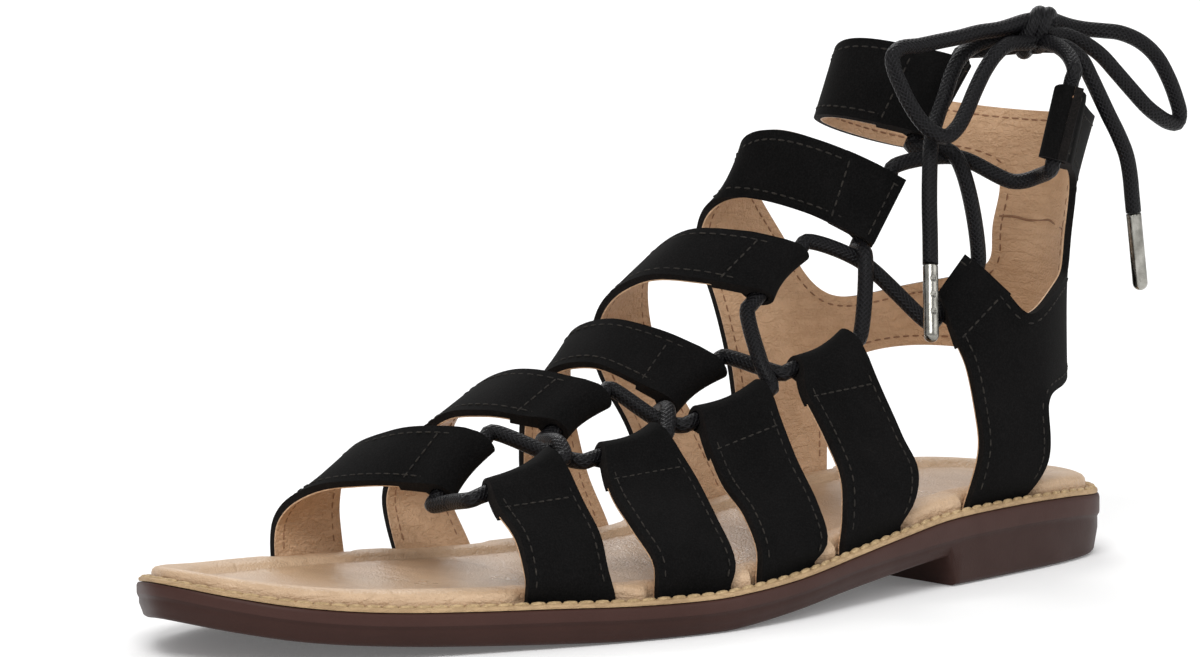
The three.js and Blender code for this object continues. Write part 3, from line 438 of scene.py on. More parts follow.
def tube(path, radius, sides=12, normal=None, closed=False):
    """Points and faces of a round tube on a path, without twist, open paths with closed ends."""
    path = np.asarray(path, float)
    if closed:
        tangents = unit(np.roll(path, -1, axis=0) - np.roll(path, 1, axis=0))
    else:
        tangents = unit(np.gradient(path, axis=0))
    side = normal if normal is not None else np.cross(tangents[0], UP)
    if np.linalg.norm(side) < 1e-3:
        side = np.array([1.0, 0, 0])
    angles = 2 * np.pi * np.arange(sides) / sides
    radii = np.broadcast_to(radius, (len(path),))
    points = []
    for i, (centre, tangent) in enumerate(zip(path, tangents)):
        side = unit(side - tangent * np.dot(side, tangent))
        other = np.cross(tangent, side)
        ring = np.outer(np.cos(angles), side) + np.outer(np.sin(angles), other)
        points.append(centre + ring * radii[i])
    faces = []
    rings = len(path)
    for r in range(rings if closed else rings - 1):
        for i in range(sides):
            j = (i + 1) % sides
            n = (r + 1) % rings
            faces.append((r * sides + i, r * sides + j, n * sides + j, n * sides + i))
    if not closed:
        faces.append(tuple(range(sides))[::-1])
        faces.append(tuple((rings - 1) * sides + i for i in range(sides)))
    return np.vstack(points), faces


def tube_uvs(piece, sides, spacing):
    """Millimetres of length along U, and the share of the way round along V."""
    layer = piece.data.uv_layers.new(name="UVMap")
    for polygon in piece.data.polygons:
        corners = list(polygon.vertices)
        if len(corners) != 4:
            for loop in polygon.loop_indices:
                layer.data[loop].uv = (0.0, 0.0)
            continue
        around = [v % sides for v in corners]
        wraps = 0 in around and sides - 1 in around
        for loop, vertex in zip(polygon.loop_indices, corners):
            v = vertex % sides
            turn = sides if wraps and v == 0 else v
            layer.data[loop].uv = ((vertex // sides) * spacing, turn / sides)


class Parts:
    """Several small closed shapes gathered into one mesh."""

    def __init__(self):
        self.points, self.faces, self.count = [], [], 0

    def add(self, points, faces):
        self.points.append(np.asarray(points))
        self.faces += [tuple(i + self.count for i in face) for face in faces]
        self.count += len(points)

    def build(self, name, materials):
        return add_object(name, np.vstack(self.points), self.faces, materials)


def stitch(parts, centre, along, out, length, width, height):
    """One raised stitch: a short rounded thread that lies on a face."""
    across = unit(np.cross(out, along))
    stops = [(-0.5, 0.35), (-0.36, 0.85), (0, 1.0), (0.36, 0.85), (0.5, 0.35)]
    sides = 6
    angles = 2 * np.pi * np.arange(sides) / sides
    rings = []
    for position, size in stops:
        arc = np.outer(np.cos(angles), across) * width * size / 2
        arc = arc + np.outer(np.sin(angles), out) * height * size
        rings.append(centre + along * position * length + arc)
    faces = []
    for r in range(len(rings) - 1):
        for i in range(sides):
            j = (i + 1) % sides
            faces.append((r * sides + i, r * sides + j, (r + 1) * sides + j, (r + 1) * sides + i))
    faces.append(tuple(range(sides))[::-1])
    faces.append(tuple((len(rings) - 1) * sides + i for i in range(sides)))
    parts.add(np.vstack(rings), faces)


# Materials

def new_group(name, inputs, outputs):
    group = bpy.data.node_groups.new(name, "ShaderNodeTree")
    for label, kind, value in inputs:
        socket = group.interface.new_socket(name=label, in_out="INPUT", socket_type=kind)
        socket.default_value = value
    for label, kind in outputs:
        group.interface.new_socket(name=label, in_out="OUTPUT", socket_type=kind)
    return group, group.nodes.new("NodeGroupInput"), group.nodes.new("NodeGroupOutput")


def add_node(tree, kind, links=(), **settings):
    """A node with its settings, and links given as (input, source socket or value)."""
    node = tree.nodes.new(kind)
    for key, value in settings.items():
        setattr(node, key, value)
    for target, source in links:
        if isinstance(source, bpy.types.NodeSocket):
            tree.links.new(source, node.inputs[target])
        else:
            node.inputs[target].default_value = source
    return node


def noise(tree, vector, scale, detail=3.0, roughness=0.55):
    node = add_node(tree, "ShaderNodeTexNoise", [
        ("Vector", vector), ("Scale", scale), ("Detail", detail), ("Roughness", roughness)])
    return node.outputs["Fac"]


def remap(tree, value, low, high, new_low=0.0, new_high=1.0):
    node = add_node(tree, "ShaderNodeMapRange", [
        ("Value", value), ("From Min", low), ("From Max", high),
        ("To Min", new_low), ("To Max", new_high)])
    return node.outputs["Result"]


def calc(tree, operation, a, b=0.0):
    return add_node(tree, "ShaderNodeMath", [(0, a), (1, b)], operation=operation).outputs[0]


def mix_colour(tree, factor, a, b):
    node = add_node(tree, "ShaderNodeMix", data_type="RGBA")
    for index, source in ((0, factor), (6, a), (7, b)):
        if isinstance(source, bpy.types.NodeSocket):
            tree.links.new(source, node.inputs[index])
        else:
            node.inputs[index].default_value = source
    return node.outputs[2]


def colour(hex_code):
    """Linear opaque colour from an sRGB code."""
    values = [int(hex_code[i:i + 2], 16) / 255 for i in (0, 2, 4)]
    linear = [v / 12.92 if v <= 0.04045 else ((v + 0.055) / 1.055) ** 2.4 for v in values]
    return (*linear, 1.0)


def nap_group():
    """Brushed nap of suede: fine fibres, and larger patches that lie another way."""
    group, given, out = new_group("nap", [
        ("Deep", "NodeSocketColor", (0, 0, 0, 1)), ("Raised", "NodeSocketColor", (1, 1, 1, 1)),
        ("Patch Scale", "NodeSocketFloat", 90.0)], [
        ("Color", "NodeSocketColor"), ("Roughness", "NodeSocketFloat"),
        ("Height", "NodeSocketFloat")])
    where = add_node(group, "ShaderNodeTexCoord").outputs["Object"]
    fibres = noise(group, where, 2600.0, 4.0, 0.7)
    flecks = noise(group, where, 900.0, 3.0, 0.65)
    patches = noise(group, where, given.outputs["Patch Scale"], 3.0, 0.6)
    lay = remap(group, patches, 0.35, 0.7)
    mask = calc(group, "MULTIPLY", remap(group, fibres, 0.42, 0.75), 0.6)
    mask = calc(group, "ADD", mask, calc(group, "MULTIPLY", lay, 0.25))
    mask = calc(group, "ADD", mask, calc(group, "MULTIPLY", remap(group, flecks, 0.6, 0.8), 0.3))
    tint = mix_colour(group, mask, given.outputs["Deep"], given.outputs["Raised"])
    height = calc(group, "ADD", calc(group, "MULTIPLY", fibres, 0.6),
                  calc(group, "MULTIPLY", flecks, 0.7))
    group.links.new(tint, out.inputs["Color"])
    group.links.new(remap(group, patches, 0.3, 0.7, 0.88, 1.0), out.inputs["Roughness"])
    group.links.new(height, out.inputs["Height"])
    return group


def grain_group():
    """Smooth leather: small cells, long soft creases painted darker as painted shade, and cloudy
    colour.
    """
    group, given, out = new_group("grain", [
        ("Light", "NodeSocketColor", (1, 1, 1, 1)), ("Dark", "NodeSocketColor", (0, 0, 0, 1)),
        ("Cell Scale", "NodeSocketFloat", 900.0), ("Crease Scale", "NodeSocketFloat", 60.0),
        ("Creases", "NodeSocketFloat", 0.5), ("Gloss", "NodeSocketFloat", 0.5)], [
        ("Color", "NodeSocketColor"), ("Roughness", "NodeSocketFloat"),
        ("Height", "NodeSocketFloat")])
    where = add_node(group, "ShaderNodeTexCoord").outputs["Object"]
    cells = add_node(group, "ShaderNodeTexVoronoi", [
        ("Vector", where), ("Scale", given.outputs["Cell Scale"])],
        feature="DISTANCE_TO_EDGE").outputs["Distance"]
    cells = remap(group, cells, 0.0, 0.25)
    bent = add_node(group, "ShaderNodeMapping", [("Vector", where)])
    bent.inputs["Scale"].default_value = (1.0, 0.45, 2.2)
    creases = noise(group, bent.outputs["Vector"], given.outputs["Crease Scale"], 5.0, 0.6)
    ridges = calc(group, "ABSOLUTE", calc(group, "SUBTRACT", creases, 0.5))
    ridges = remap(group, ridges, 0.0, 0.07)
    clouds = noise(group, where, 45.0, 4.0, 0.6)
    fine = noise(group, where, 1500.0, 3.0, 0.6)
    # Painted shade: the crease lines are mixed toward the dark colour. The clouds and the fine
    # noise are the leather's own uneven tone.
    crease_shade_and_clouds = calc(group, "MULTIPLY", calc(group, "SUBTRACT", 1.0, ridges),
                 given.outputs["Creases"])
    crease_shade_and_clouds = calc(group, "ADD", calc(group, "MULTIPLY", crease_shade_and_clouds, 0.45),
                 calc(group, "MULTIPLY", remap(group, clouds, 0.3, 0.75), 0.45))
    crease_shade_and_clouds = calc(group, "ADD", crease_shade_and_clouds, calc(group, "MULTIPLY", fine, 0.12))
    tint = mix_colour(group, crease_shade_and_clouds, given.outputs["Light"], given.outputs["Dark"])
    height = calc(group, "MULTIPLY", calc(group, "MULTIPLY", ridges, 2.2),
                  given.outputs["Creases"])
    height = calc(group, "ADD", height, calc(group, "MULTIPLY", cells, 0.5))
    height = calc(group, "ADD", height, calc(group, "MULTIPLY", fine, 0.25))
    rough = calc(group, "ADD", given.outputs["Gloss"],
                 calc(group, "MULTIPLY", remap(group, clouds, 0.3, 0.7), 0.15))
    group.links.new(tint, out.inputs["Color"])
    group.links.new(rough, out.inputs["Roughness"])
    group.links.new(height, out.inputs["Height"])
    return group


def braid_group():
    """Round braid: two sets of slanted strands over and under each other, the raised strands
    painted lighter as a painted highlight and the grooves between them darker as painted shade.
    """
    group, given, out = new_group("braid", [
        ("Deep", "NodeSocketColor", (0, 0, 0, 1)), ("Raised", "NodeSocketColor", (1, 1, 1, 1)),
        ("Turns", "NodeSocketFloat", 6.0), ("Pitch", "NodeSocketFloat", 1.0)], [
        ("Color", "NodeSocketColor"), ("Height", "NodeSocketFloat")])
    uv = add_node(group, "ShaderNodeTexCoord").outputs["UV"]
    split = add_node(group, "ShaderNodeSeparateXYZ", [(0, uv)])
    run = calc(group, "MULTIPLY", split.outputs[0], given.outputs["Pitch"])
    turn = calc(group, "MULTIPLY", split.outputs[1], given.outputs["Turns"])
    waves = []
    for sign in ("ADD", "SUBTRACT"):
        slant = calc(group, sign, turn, run)
        waves.append(calc(group, "ABSOLUTE", calc(
            group, "SINE", calc(group, "MULTIPLY", slant, math.pi))))
    weave = calc(group, "MAXIMUM", *waves)
    # Painted highlight and painted shade: the colour follows the strands' height, light on the
    # crowns and dark in the grooves.
    raised = remap(group, weave, 0.55, 1.0)
    group.links.new(
        mix_colour(group, raised, given.outputs["Deep"], given.outputs["Raised"]),
        out.inputs["Color"])
    group.links.new(raised, out.inputs["Height"])
    return group


def finish_material(name, group, values, bump, shader_values=()):
    """A material whose colour, roughness and bump come from a group's outputs."""
    material = bpy.data.materials.new(name)
    material.use_nodes = True
    tree = material.node_tree
    shader = tree.nodes["Principled BSDF"]
    source = add_node(tree, "ShaderNodeGroup", node_tree=group)
    for label, value in values:
        source.inputs[label].default_value = value
    tree.links.new(source.outputs["Color"], shader.inputs["Base Color"])
    if "Roughness" in source.outputs:
        tree.links.new(source.outputs["Roughness"], shader.inputs["Roughness"])
    strength, distance = bump
    dent = add_node(tree, "ShaderNodeBump", [
        ("Strength", strength), ("Distance", distance / 1000),
        ("Height", source.outputs["Height"])])
    tree.links.new(dent.outputs["Normal"], shader.inputs["Normal"])
    for label, value in shader_values:
        shader.inputs[label].default_value = value
    return material


nap = nap_group()
grain = grain_group()
braid = braid_group()

suede = finish_material("suede", nap, [
    ("Deep", colour("050505")), ("Raised", colour("1c1b1b")), ("Patch Scale", 70.0)],
    (0.55, 0.12), [("Sheen Weight", 0.05), ("Sheen Roughness", 0.5),
                   ("Sheen Tint", colour("8a8784")), ("Specular IOR Level", 0.07)])
suede_edge = finish_material("suede_edge", nap, [
    ("Deep", colour("080707")), ("Raised", colour("282422")), ("Patch Scale", 300.0)],
    (0.5, 0.1), [("Specular IOR Level", 0.15)])
lining = finish_material("lining", grain, [
    ("Light", colour("d8b491")), ("Dark", colour("b08862")), ("Cell Scale", 900.0),
    ("Crease Scale", 190.0), ("Creases", 0.35), ("Gloss", 0.4)],
    (0.6, 0.35), [("Specular IOR Level", 0.4)])
footbed_leather = finish_material("footbed_leather", grain, [
    ("Light", colour("d4b696")), ("Dark", colour("ab8b6b")), ("Cell Scale", 1100.0),
    ("Crease Scale", 90.0), ("Creases", 0.5), ("Gloss", 0.4)],
    (0.5, 0.3), [("Specular IOR Level", 0.4)])
# Painted shade and painted sheen: the footbed's recess is coloured darker and greyer than its rim.
footbed_recess_shade_sheen = finish_material("footbed_recess_shade_sheen", grain, [
    ("Light", colour("c9aa89")), ("Dark", colour("98785a")), ("Cell Scale", 1100.0),
    ("Crease Scale", 45.0), ("Creases", 0.4), ("Gloss", 0.26)],
    (0.4, 0.3), [("Specular IOR Level", 0.5)])
welt_leather = finish_material("welt_leather", grain, [
    ("Light", colour("c0a27a")), ("Dark", colour("86694a")), ("Cell Scale", 1300.0),
    ("Crease Scale", 150.0), ("Creases", 0.6), ("Gloss", 0.6)], (0.5, 0.2))
welt_thread = finish_material("welt_thread", grain, [
    ("Light", colour("cdb186")), ("Dark", colour("957850")), ("Cell Scale", 2600.0),
    ("Crease Scale", 500.0), ("Creases", 0.8), ("Gloss", 0.55)], (0.5, 0.15))
outsole_rubber = finish_material("outsole_rubber", grain, [
    ("Light", colour("38201a")), ("Dark", colour("281611")), ("Cell Scale", 1600.0),
    ("Crease Scale", 90.0), ("Creases", 0.15), ("Gloss", 0.42)],
    (0.25, 0.12), [("Specular IOR Level", 0.2)])
outsole_band = finish_material("outsole_band", grain, [
    ("Light", colour("432923")), ("Dark", colour("321d18")), ("Cell Scale", 1600.0),
    ("Crease Scale", 90.0), ("Creases", 0.15), ("Gloss", 0.45)],
    (0.25, 0.12), [("Specular IOR Level", 0.22)])
# The braid's light crowns and dark grooves are painted highlight and painted shade.
lace_cord = finish_material("lace_cord", braid, [
    ("Deep", colour("020202")), ("Raised", colour("121114")), ("Turns", 10.0), ("Pitch", 0.85)],
    (0.9, 0.18), [("Roughness", 0.4), ("Specular IOR Level", 0.18)])
black_thread = finish_material("black_thread", nap, [
    ("Deep", colour("161413")), ("Raised", colour("454039")), ("Patch Scale", 500.0)],
    (0.3, 0.05), [("Specular IOR Level", 0.3)])
tan_thread = finish_material("tan_thread", grain, [
    ("Light", colour("a37a5a")), ("Dark", colour("6e4d35")), ("Cell Scale", 2600.0),
    ("Crease Scale", 500.0), ("Creases", 0.5), ("Gloss", 0.5)], (0.3, 0.1))


def metal_material():
    material = bpy.data.materials.new("tip_metal")
    material.use_nodes = True
    tree = material.node_tree
    shader = tree.nodes["Principled BSDF"]
    where = add_node(tree, "ShaderNodeTexCoord").outputs["Object"]
    stretch = add_node(tree, "ShaderNodeMapping", [("Vector", where)])
    stretch.inputs["Scale"].default_value = (1.0, 1.0, 0.15)
    scratches = noise(tree, stretch.outputs["Vector"], 3200.0, 3.0)
    smudges = noise(tree, where, 300.0, 3.0)
    tint = mix_colour(tree, remap(tree, smudges, 0.35, 0.7), colour("a9a7a0"), colour("75736d"))
    tree.links.new(tint, shader.inputs["Base Color"])
    tree.links.new(remap(tree, scratches, 0.3, 0.7, 0.16, 0.32), shader.inputs["Roughness"])
    shader.inputs["Metallic"].default_value = 1.0
    dent = add_node(tree, "ShaderNodeBump", [
        ("Strength", 0.06), ("Distance", 0.00003), ("Height", scratches)])
    tree.links.new(dent.outputs["Normal"], shader.inputs["Normal"])
    return material


tip_metal = metal_material()


# Camera, and the bow that hangs free

def add_camera():
    azimuth, elevation = math.radians(CAMERA_AZIMUTH), math.radians(CAMERA_ELEVATION)
    away = Vector((
        math.sin(azimuth) * math.cos(elevation), -math.cos(azimuth) * math.cos(elevation),
        math.sin(elevation)))
    data = bpy.data.cameras.new("camera")
    data.sensor_width = SENSOR
    data.lens = CAMERA_FOCAL * SENSOR / PHOTO_WIDTH
    data.shift_x = -TARGET_OFFSET[0] / PHOTO_WIDTH
    data.shift_y = TARGET_OFFSET[1] / PHOTO_WIDTH
    data.clip_end = 20
    camera = bpy.data.objects.new("camera", data)
    bpy.context.scene.collection.objects.link(camera)
    camera.location = Vector(CAMERA_TARGET) / 1000 + away * CAMERA_DISTANCE / 1000
    camera.rotation_mode = "QUATERNION"
    roll = Quaternion(away, math.radians(CAMERA_ROLL))
    camera.rotation_quaternion = roll @ away.to_track_quat("Z", "Y")
    bpy.context.scene.camera = camera


add_camera()

LACE_SIDES = 16
KNOT_TURNS = [
    # slide toward the toe, rise, half height, half depth, lean, thickness
    (1.5, 0.1, 4.1, 3.3, 1.7, 1.9), (-1.1, 0.7, 3.4, 2.7, 1.1, 1.75)]
LACE_SPACING = 0.9
DIMPLE_RADIUS = 0.85
DIMPLE_DEPTH = 0.38
DIMPLE_TURN = 0.42
DIMPLE_PLACES = (0.19, 0.4, 0.62)
TIP_SEAM_REACH = 0.17
TIP_SEAM_DEPTH = 0.2
TIP_FACING = (0.668, 0.744, 0.1)
KNOT_FACING = np.array([0.66, 0.75, 0.0])
KNOT_ALONG = np.array([0.75, -0.66, 0.0])
KNOT_TWIST = 0.9


def lace_piece(name, path):
    points = Curve(path).even(LACE_SPACING)
    piece = add_object(name + "_braid", *tube(points, LACE_DIAMETER / 2, LACE_SIDES), [lace_cord])
    tube_uvs(piece, LACE_SIDES, LACE_SPACING)
    return piece, points


def dimple(points, axis, start, facing, at):
    """Presses a small round dimple into the tip's side."""
    offset = points - (start + axis * at)
    along = offset @ axis
    side = unit(offset - np.outer(along, axis))
    across = np.linalg.norm(side - facing, axis=1) * AGLET_DIAMETER / 2
    reach = np.sqrt(along ** 2 + across ** 2) / DIMPLE_RADIUS
    press = DIMPLE_DEPTH * np.clip(1 - reach ** 2, 0, 1) ** 2
    return points - side * press[:, None]


def add_aglet(name, route, facing):
    before, end = np.array(route[-2], float), np.array(route[-1], float)
    axis = unit(end - before)
    start = end + axis * FIT_GAP
    radius = AGLET_DIAMETER / 2
    stops = np.concatenate([
        [0, 0.08, 0.25], np.arange(0.5, AGLET_LENGTH - radius, 0.14),
        AGLET_LENGTH - radius + radius * np.sin(np.linspace(0, 0.5, 12) * np.pi)[:-1]])
    dome = np.clip((stops - (AGLET_LENGTH - radius)) / radius, 0, 1)
    radii = radius * np.sqrt(np.clip(1 - dome ** 2, 0.03, 1))
    radii[:3] = [radius - 0.25, radius - 0.08, radius]
    path = start + np.outer(stops, axis)
    facing = unit(facing - axis * np.dot(facing, axis))
    points, faces = tube(path, radii, 56, normal=facing)
    if name == "aglet_toe":
        turned = facing * math.cos(DIMPLE_TURN) + np.cross(facing, axis) * math.sin(DIMPLE_TURN)
        for share in DIMPLE_PLACES:
            points = dimple(points, axis, start, turned, share * AGLET_LENGTH)
    offset = points - start
    side = unit(offset - np.outer(offset @ axis, axis))
    seam = -facing if name == "aglet_toe" else facing
    groove = np.clip(1 - np.linalg.norm(side - seam, axis=1) / TIP_SEAM_REACH, 0, 1)
    along = (offset @ axis) / AGLET_LENGTH
    groove = groove * np.clip((0.88 - along) * 20, 0, 1)
    points = points - side * (TIP_SEAM_DEPTH * groove)[:, None]
    piece = add_object(name + "_crimped", points, faces, [tip_metal])
    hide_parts(name)
    return piece


def add_knot():
    """The tied lace: two upright turns round the strands, leaning toward the toe at the foot."""
    knot = Parts()
    for slide, rise, height, depth, lean, thick in KNOT_TURNS:
        angles = np.linspace(0, 2 * np.pi, 40, endpoint=False)
        upright = height * UP - lean * KNOT_ALONG
        ring = np.outer(np.cos(angles), upright) + np.outer(
            np.sin(angles), depth * KNOT_FACING + KNOT_TWIST * KNOT_ALONG)
        knot.add(*tube(KNOT_CENTRE + slide * KNOT_ALONG + rise * UP + ring, thick, 16, closed=True))
    piece = knot.build("lace_knot_tied", [lace_cord])
    layer = piece.data.uv_layers.new(name="UVMap")
    for loop in piece.data.loops:
        point = piece.data.vertices[loop.vertex_index].co * 1000
        layer.data[loop.index].uv = (point.z * 0.8 + point.x * 0.5, (point.x - point.y) / 11)
    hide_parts("lace_knot")
    return piece


view_side = unit(TIP_FACING)
knot_piece = add_knot()
aglets = {
    "lace_end_toe": add_aglet("aglet_toe", BOW["lace_end_toe"], view_side),
    "lace_end_heel": add_aglet("aglet_heel", BOW["lace_end_heel"], view_side),
}
for name, route in BOW.items():
    loop = "loop" in name
    inward = KNOT_CENTRE + [0, 0, route[0][2] - KNOT_CENTRE[2]]
    tail = [tuple(inward * 0.8 + np.array(route[-1]) * 0.2)] if loop else []
    route = [tuple(inward * 0.8 + np.array(route[0]) * 0.2)] + route + tail
    piece, run = lace_piece(name, route)
    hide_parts(name)
    tuple(to_frame(run[0]))
    [tuple(p) for p in to_frame(run)]


# Sole, welt and footbed

def step_drop(x):
    t = min(max((x - BREAST_X) / (BREAST_X * 0.6), 0), 1)
    heel_share = 1 - t * t * (3 - 2 * t)
    return STEP_DROP_FORE + (STEP_DROP_HEEL - STEP_DROP_FORE) * heel_share


def add_outsole():
    under_rings = []
    for turn in np.linspace(0, math.pi / 2, 5):
        inset = EDGE_ROUND + (BOTTOM_INSET - EDGE_ROUND) * (1 - math.sin(turn))
        rise = EDGE_ROUND * (1 - math.cos(turn))
        under_rings.append(sole_ring(inset, lambda x, r=rise: sole_under(x) + r, True))

    def share(low, high, part):
        return lambda x: (sole_under(x) + low + part * (
            sole_top(x) - step_drop(x) - high - sole_under(x) - low))
    wall = []
    for part, bulge in ((0.3, 0.15), (0.6, 0.3), (0.9, 0.1)):
        inset = EDGE_ROUND + (SIDE_STEP - EDGE_ROUND) * part - bulge
        wall.append(sole_ring(inset, share(EDGE_ROUND, 0, part), True))
    groove = [
        sole_ring(SIDE_STEP, lambda x: sole_top(x) - step_drop(x) - 0.5),
        sole_ring(SIDE_STEP - 0.05, lambda x: sole_top(x) - step_drop(x) - 0.1),
        sole_ring(0.25, lambda x: sole_top(x) - step_drop(x) + 0.25),
        sole_ring(0.06, lambda x: sole_top(x) - step_drop(x) + 0.6),
    ]
    upper = [
        sole_ring(0, lambda x: sole_top(x) - step_drop(x) + 1.0),
        sole_ring(0, lambda x: sole_top(x) - 0.9),
        sole_ring(0.12, lambda x: sole_top(x) - 0.4),
        sole_ring(0.4, lambda x: sole_top(x) - 0.1),
        sole_ring(0.9, sole_top),
    ]
    rings = [sole_ring(BOTTOM_INSET + 1.5, sole_under, True)] + under_rings + wall + groove + upper
    points, faces = stacked(rings)
    band_from = (1 + len(under_rings) + len(wall) + len(groove) - 1) * len(FINE_STOPS)
    indices = [1 if min(f) >= band_from else 0 for f in faces]
    piece = add_object("outsole_moulded", points, faces, [outsole_rubber, outsole_band], indices)
    sharpen(piece, 40)
    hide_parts("outsole")


def sharpen(piece, angle):
    piece.data.set_sharp_from_angle(angle=math.radians(angle))


def add_welt():
    def at(rise):
        return lambda x: sole_top(x) + FIT_GAP * 0.5 + rise
    outer, width = SIDE_STEP, WELT_WIDTH
    section = [
        (outer, 0), (outer - 0.1, 0.35), (outer, 0.75), (outer + 0.3, 0.95), (outer + 1.2, 0.9),
        (outer + 2.1, 0.95), (outer + width, 0.75), (outer + width, 0)]
    rings = [sole_ring(inset, at(rise)) for inset, rise in section]
    piece = add_object("welt_strip", *band(rings), [welt_leather])
    sharpen(piece, 50)
    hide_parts("welt")
    beads = Parts()
    fine = np.array([inset_point(t, SIDE_STEP + WELT_WIDTH / 2) for t in
                     np.linspace(0, 1, 1600, endpoint=False)])
    fine = np.vstack([fine, fine[:1]])
    run = np.concatenate([[0], np.cumsum(np.linalg.norm(np.diff(fine, axis=0), axis=1))])
    count = int(run[-1] / BEAD_PITCH)
    for i in range(count):
        stop = run[-1] * i / count
        x, y = [np.interp(stop, run, fine[:, k]) for k in (0, 1)]
        ahead_x, ahead_y = [np.interp(stop + 1, run, fine[:, k]) for k in (0, 1)]
        here = np.array([x, y, sole_top(x)])
        ahead = np.array([ahead_x, ahead_y, sole_top(ahead_x)])
        along = unit(ahead - here)
        out = unit(np.cross(np.array([along[1], -along[0], 0]), along))
        out = out if out[2] > 0 else -out
        across = unit(np.cross(out, along))
        slant = unit(along + BEAD_SLANT * across)
        centre = here + UP * (FIT_GAP * 0.5 + 0.85)
        stitch(beads, centre, slant, out, BEAD_PITCH * 1.02, BEAD_WIDTH, BEAD_HEIGHT)
    piece = beads.build("welt_stitches", [welt_thread])


def strap_near(station, parameter):
    """1 where a strap stands between the footbed and the welt, 0 where they meet."""
    outer = parameter < 0.5
    feet = [STRAPS[name][0] for name in STRAPS if name.startswith("lateral") == outer]
    feet.append(CUFF_FEET["lateral" if outer else "medial"])
    away = min(max(0, min(foot) * SOLE_LENGTH / 100 - station,
                   station - max(foot) * SOLE_LENGTH / 100) for foot in feet)
    share = min(max((STRAP_NOTCH - away) / (STRAP_NOTCH - STRAP_CLEAR), 0), 1)
    return share * share * (3 - 2 * share)


def add_footbed():
    behind_strap = SIDE_STEP + WELT_WIDTH + SEAT_GAP + STRAP_WALL + INSOLE_GAP
    at_welt = SIDE_STEP + WELT_WIDTH + SEAT_GAP / 2
    base = INSOLE_THICKNESS

    def inset(offset):
        def depth(station, parameter):
            straight = offset / FOOTBED_RIM
            notched = at_welt + (behind_strap - at_welt) * strap_near(station, parameter)
            return notched * (1 - straight) + behind_strap * straight + offset
        return depth

    def at(rise):
        return lambda x: sole_top(x) + FIT_GAP + rise
    section = [
        (0, 0), (-0.05, base - 1.9), (0.1, base - 1.0), (0.5, base - 0.4), (1.2, base - 0.05),
        (2.4, base + 0.1), (4, base + 0.1), (5.2, base - 0.1), (6, base - 0.55),
        (6.7, base - INSOLE_RECESS), (FOOTBED_RIM, base - INSOLE_RECESS - 0.2)]
    rings = [sole_ring(inset(offset), at(rise)) for offset, rise in section]
    points, faces = stacked(rings)
    # Faces of the recess get the darker, greyer colour: painted shade and painted sheen.
    painted_recess_from = (len(rings) - 2) * len(FINE_STOPS)
    indices = [1 if min(face) >= painted_recess_from else 0 for face in faces]
    piece = add_object(
        "footbed_padded", points, faces, [footbed_leather, footbed_recess_shade_sheen], indices)
    sharpen(piece, 55)
    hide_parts("insole")


add_outsole()
add_welt()
add_footbed()


# Straps

class Ribbon:
    """Ruled surface between a front edge and a rear edge, measured from its first row."""

    def __init__(self, front, rear, centre, standing=False):
        self.front, self.rear, self.standing = Curve(front), Curve(rear), standing
        fine = np.linspace(0, 1, 81)
        middle = np.array([(self.front.at(t) + self.rear.at(t)) / 2 for t in fine])
        steps = np.linalg.norm(np.diff(middle, axis=0), axis=1)
        self.run = np.concatenate([[0], np.cumsum(steps)])
        self.fine = fine
        self.length = self.run[-1]
        halfway = self.on(self.length / 2, 0.5)
        self.sign = 1
        facing = np.dot(self.normal(self.length / 2, 0.5), halfway - centre)
        self.sign = -1 if facing < 0 else 1

    def on(self, s, w):
        t = np.interp(s, self.run, self.fine)
        return self.front.at(t) * (1 - w) + self.rear.at(t) * w

    def normal(self, s, w):
        step = 0.5
        ahead = self.on(min(self.length, s + step), w) - self.on(max(0, s - step), w)
        forward = UP if self.standing and s < step else ahead
        normal = unit(np.cross(forward, self.on(s, 1) - self.on(s, 0)))
        return normal * self.sign

    def point(self, s, n, w):
        return self.on(s, w) + self.normal(s, w) * n


TUNNEL_RADIUS = LACE_DIAMETER / 2 + TUNNEL_CLEARANCE
FOLD_RADIUS = TUNNEL_RADIUS + TUNNEL_WALL
HOLE_SIDES = 24
NOSE_SIDES = 12
LAYERS = 10
OUTSIDE, INSIDE, CUT_EDGE = 0, 1, 2


def fold_centre(length, wall):
    return length - FOLD_RADIUS, wall / 2 - FOLD_RADIUS


